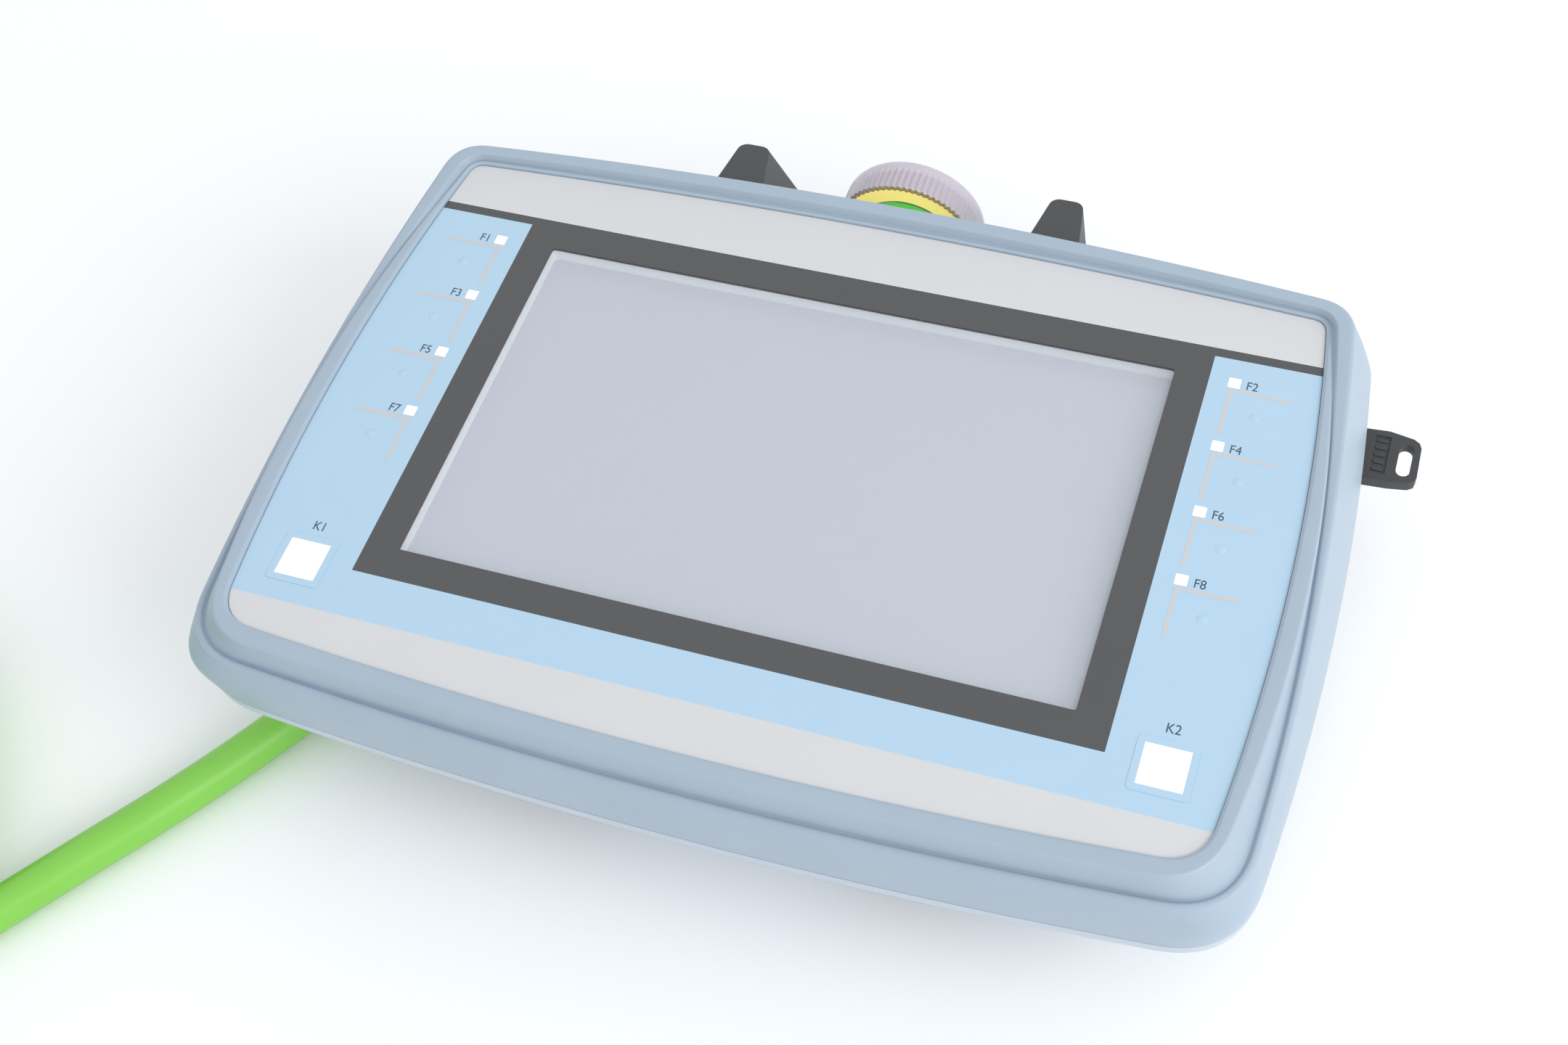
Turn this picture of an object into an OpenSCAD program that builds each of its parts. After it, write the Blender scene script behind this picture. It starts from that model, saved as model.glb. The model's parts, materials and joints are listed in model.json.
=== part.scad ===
// Handheld operator panel: a 7-inch touch display in a two-part housing, with membrane keys,
// an emergency stop, a key switch, two enabling buttons, rear grips and a plug-in cable.
// X runs to the right, Y up the display, Z out of the screen. The back rests on Z = 0.

/* [Display] */
// Width of the visible screen
screen_w = 152.4; // [140:0.2:156]
// Height of the visible screen
screen_h = 91.4; // [84:0.2:94]
// Height of the membrane's face above the resting surface
face_z = 66; // [66:1:70]
// Thickness of the printed membrane
foil_t = 0.7; // [0.5:0.1:0.9]

/* [Housing] */
// Largest width of the housing
body_w = 245.4; // [245:0.2:248]
// Height of the parting line between the shells
parting_z = 45; // [44:0.5:46]
// Height of the rear shell's flat back
pan_z = 20; // [19:0.5:20]
// Wall thickness of both shells
wall_t = 2.6; // [2.2:0.1:3]
// Slope of the front rim, millimetres of rise per millimetre of height
rim_slope = 0.0566; // [0.04:0.002:0.06]

/* [Membrane keys] */
// Distance of the indicator column from the middle
led_x = 89.7; // [88.5:0.1:90]
// Height of the top indicator above the middle
led_top_y = 45; // [43:0.5:46]
// Spacing of the function keys
key_pitch = 18.1; // [17:0.1:18.4]
// Travel of a membrane key
key_travel = 0.35; // [0.2:0.05:0.4]
// Side of a square corner key
corner_key_w = 12.8; // [11:0.2:13]

/* [Emergency stop] */
// Radius of the turning cap
cap_r = 18.2; // [17:0.1:18.4]
// Height of the cap's flat top along Y
cap_top_y = 97.8; // [96:0.2:99]
// Travel of the cap when pressed
stop_travel = 4; // [3:0.5:4]

/* [Key switch] */
// Height of the key switch's axis along Y
lock_y = 56.5; // [56:0.5:57]
// Radius of the rotor that takes the key
rotor_r = 5.5; // [5:0.1:5.8]
// Thickness of the key's grip
bow_t = 2.8; // [2.4:0.1:3.2]

/* [Grips] */
// Distance of the grips' outer flank from the middle
grip_x = 46.5; // [46:0.1:47]
// Height of the guard horns' tips along Y
horn_top_y = 92.2; // [90:0.2:93]
// Length of an enabling button
enable_len = 30; // [26:1:31]

/* [Cable] */
// Outer diameter of the cable
cable_d = 10.4; // [10:0.1:10.6]
// Radius of the plug's shell
plug_r = 11.5; // [11:0.1:12]

/* [Hidden] */
e = 0.05;

// Outline parameters: half width, height of the widest point, side radius, top centre,
// top radius, bottom centre, bottom radius, top corner cut, bottom corner cut
MEMBRANE = [111.4, -8, 520, 70.3, 1778, -77, 1253, 3, 8.5];
RING = [115.8, -11.8, 353, 71.4, 1778, -81.4, 1410, 4, 12];
CREASE = [116.6, -31, 530, 71.9, 1600, -82.3, 1350, 4.5, 13];
RIM_IN = [117.3, -31.8, 545, 72.7, 1500, -83.2, 1290, 5, 14];
RIM_OUT = [118.8, -27.6, 720, 76.5, 1319, -84.8, 1290, 8, 15];
FLANK = [121.4, -14.6, 665, 81.1, 1606, -86.1, 1290, 9.1, 9];
PARTING = [body_w / 2, -4, 620, 84, 1840, -85.8, 1250, 9.5, 16];
BACK = [body_w / 2 - 4.5, -4, 620, 80, 1840, -72, 940, 11, 20];
WINDOW = [83.3, 0, 90000, 52.3, 90000, -52.3, 90000, 1, 1];

function mix(a, b, t) = a * (1 - t) + b * t;
function grow(o, d) = [o[0] + d, o[1], o[2] + d, o[3] + d, o[4] + d, o[5] - d, o[6] + d,
    max(0.8, o[7] + 0.6 * d), max(0.8, o[8] + 0.6 * d)];
function side_x(o, y) = o[0] - pow(y - o[1], 2) / (2 * o[2]);
function top_y(o, x) = o[3] - x * x / (2 * o[4]);
function low_y(o, x) = o[5] + x * x / (2 * o[6]);
function top_corner(o, n = 4, x = 100) = n == 0 ? [x, top_y(o, x)] : top_corner(o, n - 1, side_x(o, top_y(o, x)));
function low_corner(o, n = 4, x = 100) = n == 0 ? [x, low_y(o, x)] : low_corner(o, n - 1, side_x(o, low_y(o, x)));
function bezier(a, b, c, t) = a * pow(1 - t, 2) + b * 2 * t * (1 - t) + c * t * t;

// Right half of an outline from the top centre to the bottom centre
function right_half(o) = let (
    tc = top_corner(o),
    bc = low_corner(o),
    ta = [tc.x - o[7], top_y(o, tc.x - o[7])],
    tb = [side_x(o, tc.y - o[7]), tc.y - o[7]],
    ba = [side_x(o, bc.y + o[8]), bc.y + o[8]],
    bb = [bc.x - o[8], low_y(o, bc.x - o[8])])
    concat(
        [for (i = [0:5]) let (x = ta.x * i / 6) [x, top_y(o, x)]],
        [for (i = [0:5]) bezier(ta, tc, tb, i / 6)],
        [for (i = [0:8]) let (y = mix(tb.y, ba.y, i / 9)) [side_x(o, y), y]],
        [for (i = [0:5]) bezier(ba, bc, bb, i / 6)],
        [for (i = [0:6]) let (x = bb.x * (1 - i / 6)) [x, low_y(o, x)]]);
function outline(o) = let (r = right_half(o), n = len(r))
    concat(r, [for (i = [n - 2:-1:1]) [-r[i].x, r[i].y]]);

// A level is an outline with its height, which may tilt with the rim and have a ceiling
function level(o, z, slope = 0, ceiling = 999) =
    [for (p = outline(o)) [p.x, p.y, min(ceiling, z + slope * p.y)]];

// Solid between successive levels, closed on itself like a ring or capped at both ends
module loft(levels, ring = false) {
    n = len(levels[0]);
    m = len(levels);
    steps = ring ? m : m - 1;
    sides = [for (k = [0:steps - 1], i = [0:n - 1], half = [0, 1]) let (
        a = k * n + i,
        b = k * n + (i + 1) % n,
        c = ((k + 1) % m) * n + (i + 1) % n,
        d = ((k + 1) % m) * n + i)
        half == 0 ? [a, b, c] : [a, c, d]];
    middles = ring ? [] : [for (k = [0, m - 1]) [0, (levels[k][0].y + levels[k][n / 2].y) / 2, levels[k][0].z]];
    caps = ring ? [] : [for (i = [0:n - 1]) each [
        [m * n, (i + 1) % n, i],
        [m * n + 1, (m - 1) * n + i, (m - 1) * n + (i + 1) % n]]];
    polyhedron(concat([for (l = levels) for (p = l) p], middles), concat(sides, caps), convexity = 8);
}

function rounded_box(w, h, r) = [for (q = [0:3], i = [0:4]) let (a = q * 90 + i * 22.5)
    [(q == 0 || q == 3 ? 1 : -1) * (w / 2 - r) + r * cos(a), (q < 2 ? 1 : -1) * (h / 2 - r) + r * sin(a)]];
module slab(w, h, r, z0, z1) {
    translate([0, 0, z0]) linear_extrude(z1 - z0) polygon(rounded_box(w, h, r));
}
module at_each(points) {
    for (p = points) translate([p.x, p.y, 0]) children();
}
module post(r, z0, z1) {
    translate([0, 0, z0]) cylinder(r = r, h = z1 - z0, $fn = 40);
}
module along_x(x, y, z) {
    translate([x, y, z]) rotate([0, 90, 0]) children();
}
module along_y(y, z) {
    translate([0, y, z]) rotate([-90, 0, 0]) children();
}

// Heights of the stack behind the membrane
plate_top = face_z - foil_t;
plate_low = face_z - 3.5;
foil_gap = 0.35;
rim_z = face_z - 1.5;
ring_z = face_z + 0.5;
lip_z = face_z + 0.95;
flank_z = parting_z + 9.5;
rear_top = parting_z - 0.6;
pan_in = pan_z + wall_t;
board_z = 44;
board_t = 1.6;
keyboard_z = 58.4;
cover_t = 2.8;
seal_t = 0.8;

// Places of screws and keys
HOUSING_SCREWS = [[-76, 66], [76, 66], [-111, 0], [111, 0], [-80, -63], [80, -63]];
BOARD_SCREWS = [[-70, -44], [70, -44], [-70, 34], [70, 34]];
DISPLAY_SCREWS = [[-60, -57.5], [60, -57.5], [-60, 57.5], [60, 57.5]];
COVER_SCREWS = [[-28, -52], [28, -52], [-28, 70], [28, 70]];
key_x = 96;
key_drop = 8.5;
corner_key_y = -53.8;
function led_y(row) = led_top_y - key_pitch * row;
LEDS = [for (row = [0:3], s = [-1, 1]) [s * led_x, led_y(row)]];
FKEYS = [for (row = [0:3], s = [-1, 1]) [s * key_x, led_y(row) - key_drop]];
CORNER_KEYS = [[-key_x, corner_key_y], [key_x, corner_key_y]];
fkey_r = 1.3;
key_gap = 0.08;
corner_gap = 0.08;
fkey_rise = 0.2;
led_w = 2.8;
led_gap = 0.1;

module key_holes(z0, z1) {
    at_each(FKEYS) post(fkey_r + key_gap, z0, z1);
    at_each(CORNER_KEYS) slab(corner_key_w + 2 * corner_gap, corner_key_w + 2 * corner_gap, 1, z0, z1);
    at_each(LEDS) slab(led_w + 2 * led_gap, led_w + 2 * led_gap, 0.2, z0, z1);
}

// Emergency stop: its axis is Y at X = 0
stop_z = parting_z;
cap_h = 10.7;
flutes = 72;
cap_low_y = cap_top_y - cap_h;
stop_seat_y = cap_low_y - stop_travel - 0.5;
stop_body_r = 11;
stop_hole_r = stop_body_r + 0.2;
stop_flange_r = 12.9;
stop_flange_t = 1.8;
stop_ring_h = 2.9;
cap_wall = 0.9;
cap_inner_r = cap_r - 1.6;
cap_ledge = 1.4;
cap_roof = cap_h - 3.4;
stop_nut_r = 14;
stop_nut_y = stop_seat_y - 9.6;
stop_nut_t = 4.5;
stem_r = 6;
running_gap = 0.05;

module stop_cut() {
    along_y(70, stop_z) cylinder(r = stop_hole_r, h = 20, $fn = 64);
    along_y(stop_seat_y, stop_z) cylinder(r = cap_r + 1, h = 20, $fn = 96);
    along_y(60, stop_z) cylinder(r = stop_nut_r + 0.6, h = stop_nut_y + stop_nut_t - 59.9, $fn = 64);
}

// Key switch: its axis is X
lock_z = 33.5;
lock_seat_x = 112.5;
lock_hole_r = 8.1;
pocket_w = 27;
pocket_z0 = 24;
pocket_z1 = 43;

module front_shell() {
    color("#8fa3b5") difference() {
        union() {
            loft([
                level(WINDOW, plate_low),
                level(grow(RING, -3), plate_low),
                level(grow(RIM_OUT, -3.4), plate_low - 6),
                level(grow(FLANK, -wall_t), flank_z),
                level(grow(PARTING, -wall_t), parting_z),
                level(PARTING, parting_z),
                level(FLANK, flank_z),
                level(RIM_OUT, rim_z - 1, rim_slope),
                level(grow(RIM_OUT, -0.3), rim_z - 0.3, rim_slope),
                level(grow(RIM_OUT, -1), rim_z, rim_slope),
                level(RIM_IN, rim_z, rim_slope),
                level(CREASE, rim_z - 0.7, rim_slope, ring_z),
                level(RING, ring_z),
                level(grow(RING, -0.5), lip_z),
                level(grow(MEMBRANE, 0.8), lip_z),
                level(grow(MEMBRANE, foil_gap), ring_z),
                level(grow(MEMBRANE, foil_gap), plate_top),
                level(WINDOW, plate_top)], ring = true);
            at_each(HOUSING_SCREWS) post(4, parting_z, plate_low + 0.5);
        }
        key_holes(plate_low - 1, plate_top + 1);
        at_each(HOUSING_SCREWS) post(1.5, parting_z - 1, plate_low - 4);
        at_each(DISPLAY_SCREWS) post(1.15, plate_low - 1, plate_low + 2);
        stop_cut();
    }
}

// Outer surface of the rear shell from the pan up, moved inwards by d
function rear_levels(d) = [
    level(grow(BACK, -2.2 - d), pan_z),
    level(grow(BACK, -0.8 - d), pan_z + 0.6),
    level(grow(mix(BACK, PARTING, 0.1), -1.4 - d), pan_z + 2),
    level(grow(PARTING, -0.3 - d), parting_z - 4),
    level(grow(PARTING, -0.1 - d), rear_top)];

module rear_shell() {
    color("#a9b6c4") difference() {
        union() {
            loft(concat(rear_levels(0), [
                level(grow(PARTING, -wall_t), rear_top),
                level(grow(mix(BACK, PARTING, 0.85), -wall_t), parting_z - 5),
                level(grow(mix(BACK, PARTING, 0.12), -wall_t - 1.4), pan_in + 2),
                level(grow(BACK, -wall_t - 1.5), pan_in)]));
            at_each(HOUSING_SCREWS) post(4.5, pan_in - 1, parting_z);
            at_each(BOARD_SCREWS) post(3.5, pan_in - 1, board_z);
            intersection() {
                loft(rear_levels(1.3));
                translate([109.5, lock_y - pocket_w / 2 - 2.5, pan_in - 1])
                    cube([20, pocket_w + 5, rear_top - pan_in + 0.5]);
            }
        }
        at_each(HOUSING_SCREWS) {
            post(1.8, pan_z - 1, parting_z + 1);
            post(3.6, pan_z - 1, 36);
        }
        at_each(BOARD_SCREWS) post(1.25, board_z - 12, board_z + 1);
        slab(50, 90, 4, pan_z - 1, pan_in + 1);
        stop_cut();
        along_x(100, lock_y, lock_z) cylinder(r = lock_hole_r, h = 20, $fn = 64);
        translate([lock_seat_x, lock_y - pocket_w / 2, pocket_z0])
            cube([20, pocket_w, pocket_z1 - pocket_z0]);
        translate([usb_x - usb_w / 2, usb_y - usb_h / 2, pan_z - 1]) cube([usb_w, usb_h, 3]);
        translate([usb_x - 7, usb_y - 4, pan_z - 1]) cube([14, 8, 10]);
    }
}

module housing_seal() {
    color("#3a3d40") difference() {
        loft([
            level(grow(PARTING, -2), rear_top),
            level(grow(PARTING, -2), parting_z),
            level(grow(PARTING, -0.8), parting_z),
            level(grow(PARTING, -0.8), rear_top)], ring = true);
        stop_cut();
    }
}

module overlay_foil() {
    color("#c9dcec") difference() {
        loft([level(MEMBRANE, plate_top), level(MEMBRANE, face_z)]);
        slab(screen_w, screen_h, 0.6, plate_top - 1, face_z + 1);
        key_holes(plate_top - 1, face_z + 1);
    }
}

module touch_panel() {
    color("#c8cdd8") slab(166, 104, 1, plate_top - 2.1, plate_top);
}

module display_gasket() {
    color("#2b2b2d") difference() {
        slab(165, 103, 1, plate_top - 3.1, plate_top - 2.1);
        slab(155, 94, 1, plate_top - 4, plate_top - 1);
    }
}

lcd_z = plate_top - 9.1;
module lcd_module() {
    color("#777c84") difference() {
        slab(165, 103, 1, lcd_z, plate_top - 3.1);
        slab(155, 94, 1, plate_top - 3.5, plate_top);
    }
}

module display_frame() {
    tab_z = plate_low - 1.2;
    color("#b5b9bd") difference() {
        union() {
            difference() {
                slab(168, 106, 1.5, lcd_z - 1.2, plate_low);
                slab(165.4, 103.4, 1, lcd_z, plate_low + 1);
            }
            at_each(DISPLAY_SCREWS) slab(12, 10, 1, tab_z, plate_low);
        }
        slab(165.4, 103.4, 1, lcd_z, plate_low + 1);
        at_each(DISPLAY_SCREWS) post(1.5, tab_z - 1, plate_low + 1);
        slab(120, 60, 5, lcd_z - 3, lcd_z + 1);
    }
}

// A screw pointing up, with its head's top at z and a cross or hex recess
module screw(r, head_r, head_t, len, z) {
    translate([0, 0, z]) difference() {
        union() {
            cylinder(r = head_r, h = head_t, $fn = 32);
            cylinder(r = r, h = head_t + len, $fn = 24);
        }
        translate([0, 0, -e]) cylinder(r = head_r * 0.45, h = head_t * 0.6, $fn = 6);
    }
}

module display_screws() {
    color("#9c9fa2") at_each(DISPLAY_SCREWS) screw(1.1, 2.3, 1.3, 2.8, plate_low - 2.5);
}

module keypad_boards() {
    color("#2f6b46") for (s = [-1, 1])
        translate([s * 95.8, -5, 0]) slab(19.6, 116, 2, keyboard_z, keyboard_z + board_t);
}

dome_z = keyboard_z + board_t;
dome_h = 0.6;
fkey_low_z = dome_z + dome_h + key_travel + 0.1;
module key_domes() {
    color("#c6c9cc") at_each(concat(FKEYS, CORNER_KEYS)) translate([0, 0, dome_z])
        rotate_extrude($fn = 32) polygon([[0, 0], [3, 0], [3, 0.2], [2, 0.45], [0, dome_h]]);
}

module led_light_pipes() {
    color("#fbfcfd") at_each(LEDS) slab(led_w, led_w, 0.15, dome_z, face_z);
}

module function_key(index) {
    p = FKEYS[index];
    color("#bdd9f0") translate([p.x, p.y, 0]) rotate_extrude($fn = 48) polygon([
        [0, fkey_low_z], [fkey_r + 0.9, fkey_low_z], [fkey_r + 0.9, plate_low - 0.4], [fkey_r, plate_low - 0.4],
        [fkey_r, face_z], [fkey_r - 0.7, face_z + 0.6 * fkey_rise], [0, face_z + fkey_rise]]);
}

module corner_key(index) {
    p = CORNER_KEYS[index];
    color("#f4f7fa") translate([p.x, p.y, 0]) {
        slab(corner_key_w, corner_key_w, 0.9, plate_low - 0.5, face_z + 0.1);
        slab(corner_key_w + 2, corner_key_w + 2, 1, fkey_low_z, plate_low - 0.4);
    }
}

module main_board() {
    color("#2f6b46") difference() {
        translate([0, -5, 0]) slab(156, 90, 3, board_z, board_z + board_t);
        at_each(BOARD_SCREWS) post(1.6, board_z - 1, board_z + 3);
    }
}

module board_components() {
    top = board_z + board_t;
    color("#26282b") {
        for (c = [[-20, 5, 24, 24, 2.2], [20, 5, 18, 18, 1.8], [45, 18, 14, 10, 1.4], [-50, 15, 16, 11, 1.6]])
            translate([c[0], c[1], 0]) slab(c[2], c[3], 0.5, top, top + c[4]);
        for (i = [0:5]) translate([-45 + 18 * i, -36, 0]) post(3.2, top, top + 6);
        for (s = [-1, 1]) translate([s * 60, -15, 0]) slab(8, 34, 0.5, top, top + 5);
        translate([0, -22, 0]) slab(46, 6, 0.5, top, top + 5);
    }
}

module board_screws() {
    color("#9c9fa2") at_each(BOARD_SCREWS) translate([0, 0, board_z + board_t]) difference() {
        union() {
            translate([0, 0, -8]) cylinder(r = 1.2, h = 8.5, $fn = 24);
            cylinder(r = 2.6, h = 1.6, $fn = 32);
        }
        translate([0, 0, 0.7]) cylinder(r = 1.1, h = 2, $fn = 6);
    }
}

// Housing behind the pan that carries the grips and the terminals
hump_w = 68;
hump_y0 = -58;
hump_y1 = 76;
hump_h = hump_y1 - hump_y0;
hump_cy = (hump_y0 + hump_y1) / 2;
hump_z = cover_t + seal_t;
hump_t = 2.2;
module hump_slab(d, z0, z1) {
    translate([0, hump_cy, 0]) slab(hump_w + 2 * d, hump_h + 2 * d, max(1, 5 + d), z0, z1);
}

module terminal_housing() {
    color("#9aa6b3") difference() {
        union() {
            difference() {
                hump_slab(0, hump_z, pan_z);
                hump_slab(-hump_t, hump_z - 1, pan_z - 2);
                slab(50, 90, 4, pan_z - 3, pan_z + 1);
            }
            at_each(COVER_SCREWS) post(4, hump_z, pan_z - 1);
        }
        at_each(COVER_SCREWS) post(1.3, hump_z - 1, hump_z + 11);
        for (s = [-1, 1]) translate([s * hump_w / 2, enable_y, enable_z]) cube([12, 12, 8], center = true);
        gland_axis(-20, 20, gland_r + running_gap);
    }
}

module terminal_board() {
    color("#2f6b46") translate([0, -16, 0]) slab(56, 56, 2, 15.2, 16.8);
}

module terminal_blocks() {
    color("#3f8f57") for (s = [-1, 1], i = [0:3])
        translate([s * 8, -34 + 11 * i, 0]) difference() {
            slab(10, 10, 0.4, 6.4, 15.2);
            post(1.8, 5, 9);
        }
}

module compartment_cover() {
    color("#56595d") difference() {
        hump_slab(-0.2, 0, cover_t);
        at_each(COVER_SCREWS) {
            post(1.7, -1, cover_t + 1);
            post(3.3, -1, 1.7);
        }
    }
}

module cover_seal() {
    color("#2b2b2d") difference() {
        hump_slab(-0.4, cover_t, hump_z);
        hump_slab(-2, cover_t - 1, hump_z + 1);
        at_each(COVER_SCREWS) post(4.2, cover_t - 1, hump_z + 1);
    }
}

module cover_screws() {
    color("#9c9fa2") at_each(COVER_SCREWS) screw(1.25, 3, 1.3, 10, 0.3);
}

module housing_screws() {
    color("#9c9fa2") at_each(HOUSING_SCREWS) screw(1.45, 3.2, 2.4, 18, 33.6);
}

module rating_plate() {
    color("#d5d8db") translate([80, -20, 0]) slab(44, 28, 1.5, pan_z - 0.4, pan_z);
}

// Enabling buttons and grips. The button slides towards the middle.
enable_y = 54;
enable_z = 11;
enable_h = 11;
enable_travel = 3;
enable_gap = 0.35;
horn_foot_y = horn_top_y + 4;

module grip_section(x0, x1, xt0, xt1, y0, y1, z) {
    r = 2.5;
    translate([0, 0, z]) linear_extrude(e) hull() {
        translate([x0, y0]) square([x1 - x0, e]);
        translate([xt0 + r, y1 - r]) circle(r, $fn = 24);
        translate([xt1 - r, y1 - r]) circle(r, $fn = 24);
    }
}

// Space of the shells with clearance, as a prism across the grips
module shell_space() {
    translate([20, 0, 0]) rotate([90, 0, 90]) linear_extrude(40) polygon([
        [-90, pan_z], [78.2, pan_z], [80.2, pan_z + 2], [83.6, parting_z - 4.5], [84.2, parting_z - 0.5],
        [84.2, parting_z + 1], [82.3, parting_z + 9.5], [76.6, 70], [-90, 70]]);
}

module grip() {
    difference() {
        union() {
            translate([hump_w / 2, 0, 0]) rotate([90, 0, 0]) translate([0, 0, -82]) linear_extrude(144)
                polygon([[0.3, 1.5], [6, 1.5], [9.5, 3], [12.5, 8], [12.5, pan_z], [0.3, pan_z]]);
            hull() {
                grip_section(hump_w / 2 + 0.3, 42, hump_w / 2 + 1, 41.5, 78, 84, 1.5);
                grip_section(hump_w / 2 + 0.3, grip_x, 35, 45.5, 78, 89, 9);
                grip_section(hump_w / 2 + 0.3, grip_x, 34.5, 45.5, 78, horn_foot_y, 24);
            }
            hull() {
                grip_section(29, grip_x, 31.5, 45, 82, horn_foot_y, 24);
                grip_section(27.6, grip_x, 30.6, 44.4, 78, horn_foot_y, 46);
                grip_section(33, grip_x, 35.8, 44.2, 75, horn_top_y, 63.6 - e);
            }
        }
        shell_space();
        translate([40, enable_y, enable_z])
            cube([30, enable_len + 2 * enable_gap, enable_h + 2 * enable_gap], center = true);
    }
}

module right_grip() {
    color("#3c3d3f") grip();
}

module left_grip() {
    color("#3c3d3f") difference() {
        mirror([1, 0, 0]) grip();
        gland_axis(-12, 30, gland_r + running_gap);
        gland_axis(19.8, 60, gland_nut_r + 0.5);
    }
}

module enable_button() {
    translate([hump_w / 2, enable_y, enable_z]) {
        translate([3.5 + enable_travel, -enable_len / 2, -enable_h / 2]) cube([7, enable_len, enable_h]);
        translate([13.4, 0, 0]) rotate([90, 0, 0]) translate([0, 0, -enable_len / 2 + 2])
            linear_extrude(enable_len - 4) polygon([[0, -5.5], [1.4, -4.6], [2.2, -2.5], [2.2, 2.5], [1.4, 4.6], [0, 5.5]]);
        translate([-4.5, -5, -3.2]) cube([12, 10, 6.4]);
    }
}

module right_enable_button() {
    color("#2e2f31") enable_button();
}

module left_enable_button() {
    color("#2e2f31") mirror([1, 0, 0]) enable_button();
}

module enable_switches() {
    color("#d9dadb") for (s = [-1, 1])
        translate([s * 19, enable_y, 0]) slab(14, 26, 1, 5, 17.8);
}

module estop_body() {
    color("#303134") difference() {
        union() {
            along_y(stop_seat_y, stop_z) cylinder(r = stop_flange_r, h = stop_flange_t, $fn = 64);
            along_y(60, stop_z) cylinder(r = stop_body_r, h = stop_seat_y - 59, $fn = 64);
        }
        along_y(59, stop_z) cylinder(r = stem_r + running_gap, h = 30, $fn = 64);
    }
}

module estop_nut() {
    color("#4a4c4f") difference() {
        along_y(stop_nut_y, stop_z) cylinder(r = stop_nut_r, h = stop_nut_t, $fn = 12);
        along_y(stop_nut_y - 1, stop_z) cylinder(r = stop_body_r + running_gap, h = 8, $fn = 64);
    }
}

module estop_contact_block() {
    color("#e8e4da") translate([-13, 42, stop_z - 8.5]) cube([26, 14, 17]);
}

module estop_green_ring() {
    color("#35a83a") along_y(stop_seat_y + stop_flange_t, stop_z) rotate_extrude($fn = 64)
        polygon([[9, 0], [stop_flange_r, 0], [stop_flange_r - 0.1, stop_ring_h], [9, stop_ring_h]]);
}

module estop_stem() {
    color("#8c8f93") along_y(60.5, stop_z) cylinder(r = stem_r, h = 34.5, $fn = 64);
}

module estop_cap() {
    h = cap_h;
    color("#cfc9d4") along_y(cap_low_y, stop_z) difference() {
        rotate_extrude($fn = 96) polygon([
            [stem_r + running_gap, cap_roof], [stem_r + running_gap, h - 1.2], [0, h - 1.2], [0, h],
            [cap_r - 3.2, h], [cap_r - 1.6, h - 0.5], [cap_r - 0.6, h - 1.5], [cap_r, h - 3.2],
            [cap_r, 0.4], [cap_r - 0.3, 0], [cap_r - cap_wall, 0], [cap_r - cap_wall, cap_ledge],
            [cap_inner_r, cap_ledge], [cap_inner_r, cap_roof]]);
        for (i = [0:flutes - 1]) rotate([0, 0, i * 360 / flutes]) translate([cap_r + 0.2, 0, -1])
            cylinder(r = 0.55, h = 8.3, $fn = 8);
    }
}

module estop_yellow_plate() {
    color("#f1d34a") along_y(cap_low_y + 0.1, stop_z) difference() {
        cylinder(r = cap_r - cap_wall - running_gap, h = cap_ledge - 0.1, $fn = 96);
        translate([0, 0, -1]) cylinder(r = stop_flange_r + 0.2, h = 4, $fn = 96);
    }
}

module key_switch_body() {
    color("#a8abae") difference() {
        union() {
            along_x(lock_seat_x, lock_y, lock_z) cylinder(r = 9.2, h = 2, $fn = 64);
            along_x(97, lock_y, lock_z) cylinder(r = lock_hole_r - running_gap, h = 16, $fn = 64);
        }
        along_x(96, lock_y, lock_z) cylinder(r = rotor_r + running_gap, h = 30, $fn = 64);
    }
}

module key_switch_nut() {
    color("#4a4c4f") difference() {
        along_x(105.5, lock_y, lock_z) cylinder(r = 10.6, h = 4, $fn = 6);
        along_x(104, lock_y, lock_z) cylinder(r = lock_hole_r, h = 8, $fn = 64);
    }
}

module key_contact_block() {
    color("#e8e4da") translate([81.5, lock_y - 9, 25]) cube([14, 18, 17.5]);
}

blade_w = 7.6;
blade_t = 2.2;
module key_rotor() {
    color("#c3c6c9") difference() {
        along_x(97.3, lock_y, lock_z) cylinder(r = rotor_r, h = 17.5, $fn = 64);
        translate([98.5, lock_y - blade_w / 2 - 0.3, lock_z - blade_t / 2 - 0.3])
            cube([20, blade_w + 0.6, blade_t + 0.6]);
    }
}

module key() {
    bow = [[117, 49.8], [121.4, 49.7], [126.9, 50], [131.4, 50.7], [132.7, 51.6], [133, 52.9], [132.8, 61.4],
        [132.2, 62.8], [130.8, 63.7], [125.1, 64.7], [119.6, 64.3], [117, 64.2]];
    color("#3c3d3f") difference() {
        union() {
            translate([0, 0, lock_z - bow_t / 2]) linear_extrude(bow_t) polygon(bow);
            translate([115.2, lock_y - 4.6, lock_z - 2]) cube([2, 9.2, 4]);
            translate([99, lock_y - blade_w / 2, lock_z - blade_t / 2]) cube([17, blade_w, blade_t]);
        }
        hull() for (y = [54, 60.2]) translate([129.6, y, lock_z - 5]) cylinder(r = 1.6, h = 10, $fn = 24);
        for (s = [-1, 1]) translate([123.8, lock_y + 0.9, lock_z + s * bow_t / 2]) cube([3.6, 11, 0.8], center = true);
    }
}

usb_x = -75;
usb_y = 12;
usb_w = 22;
usb_h = 16;
module usb_socket() {
    color("#b9bcc0") translate([usb_x, usb_y, 0]) difference() {
        slab(13.8, 7.8, 0.6, pan_z + 2.2, pan_z + 14);
        slab(12.2, 5.2, 0.4, pan_z + 1, pan_z + 11);
        slab(10, 1, 0.2, pan_z + 1, pan_z + 10);
    }
}

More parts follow.
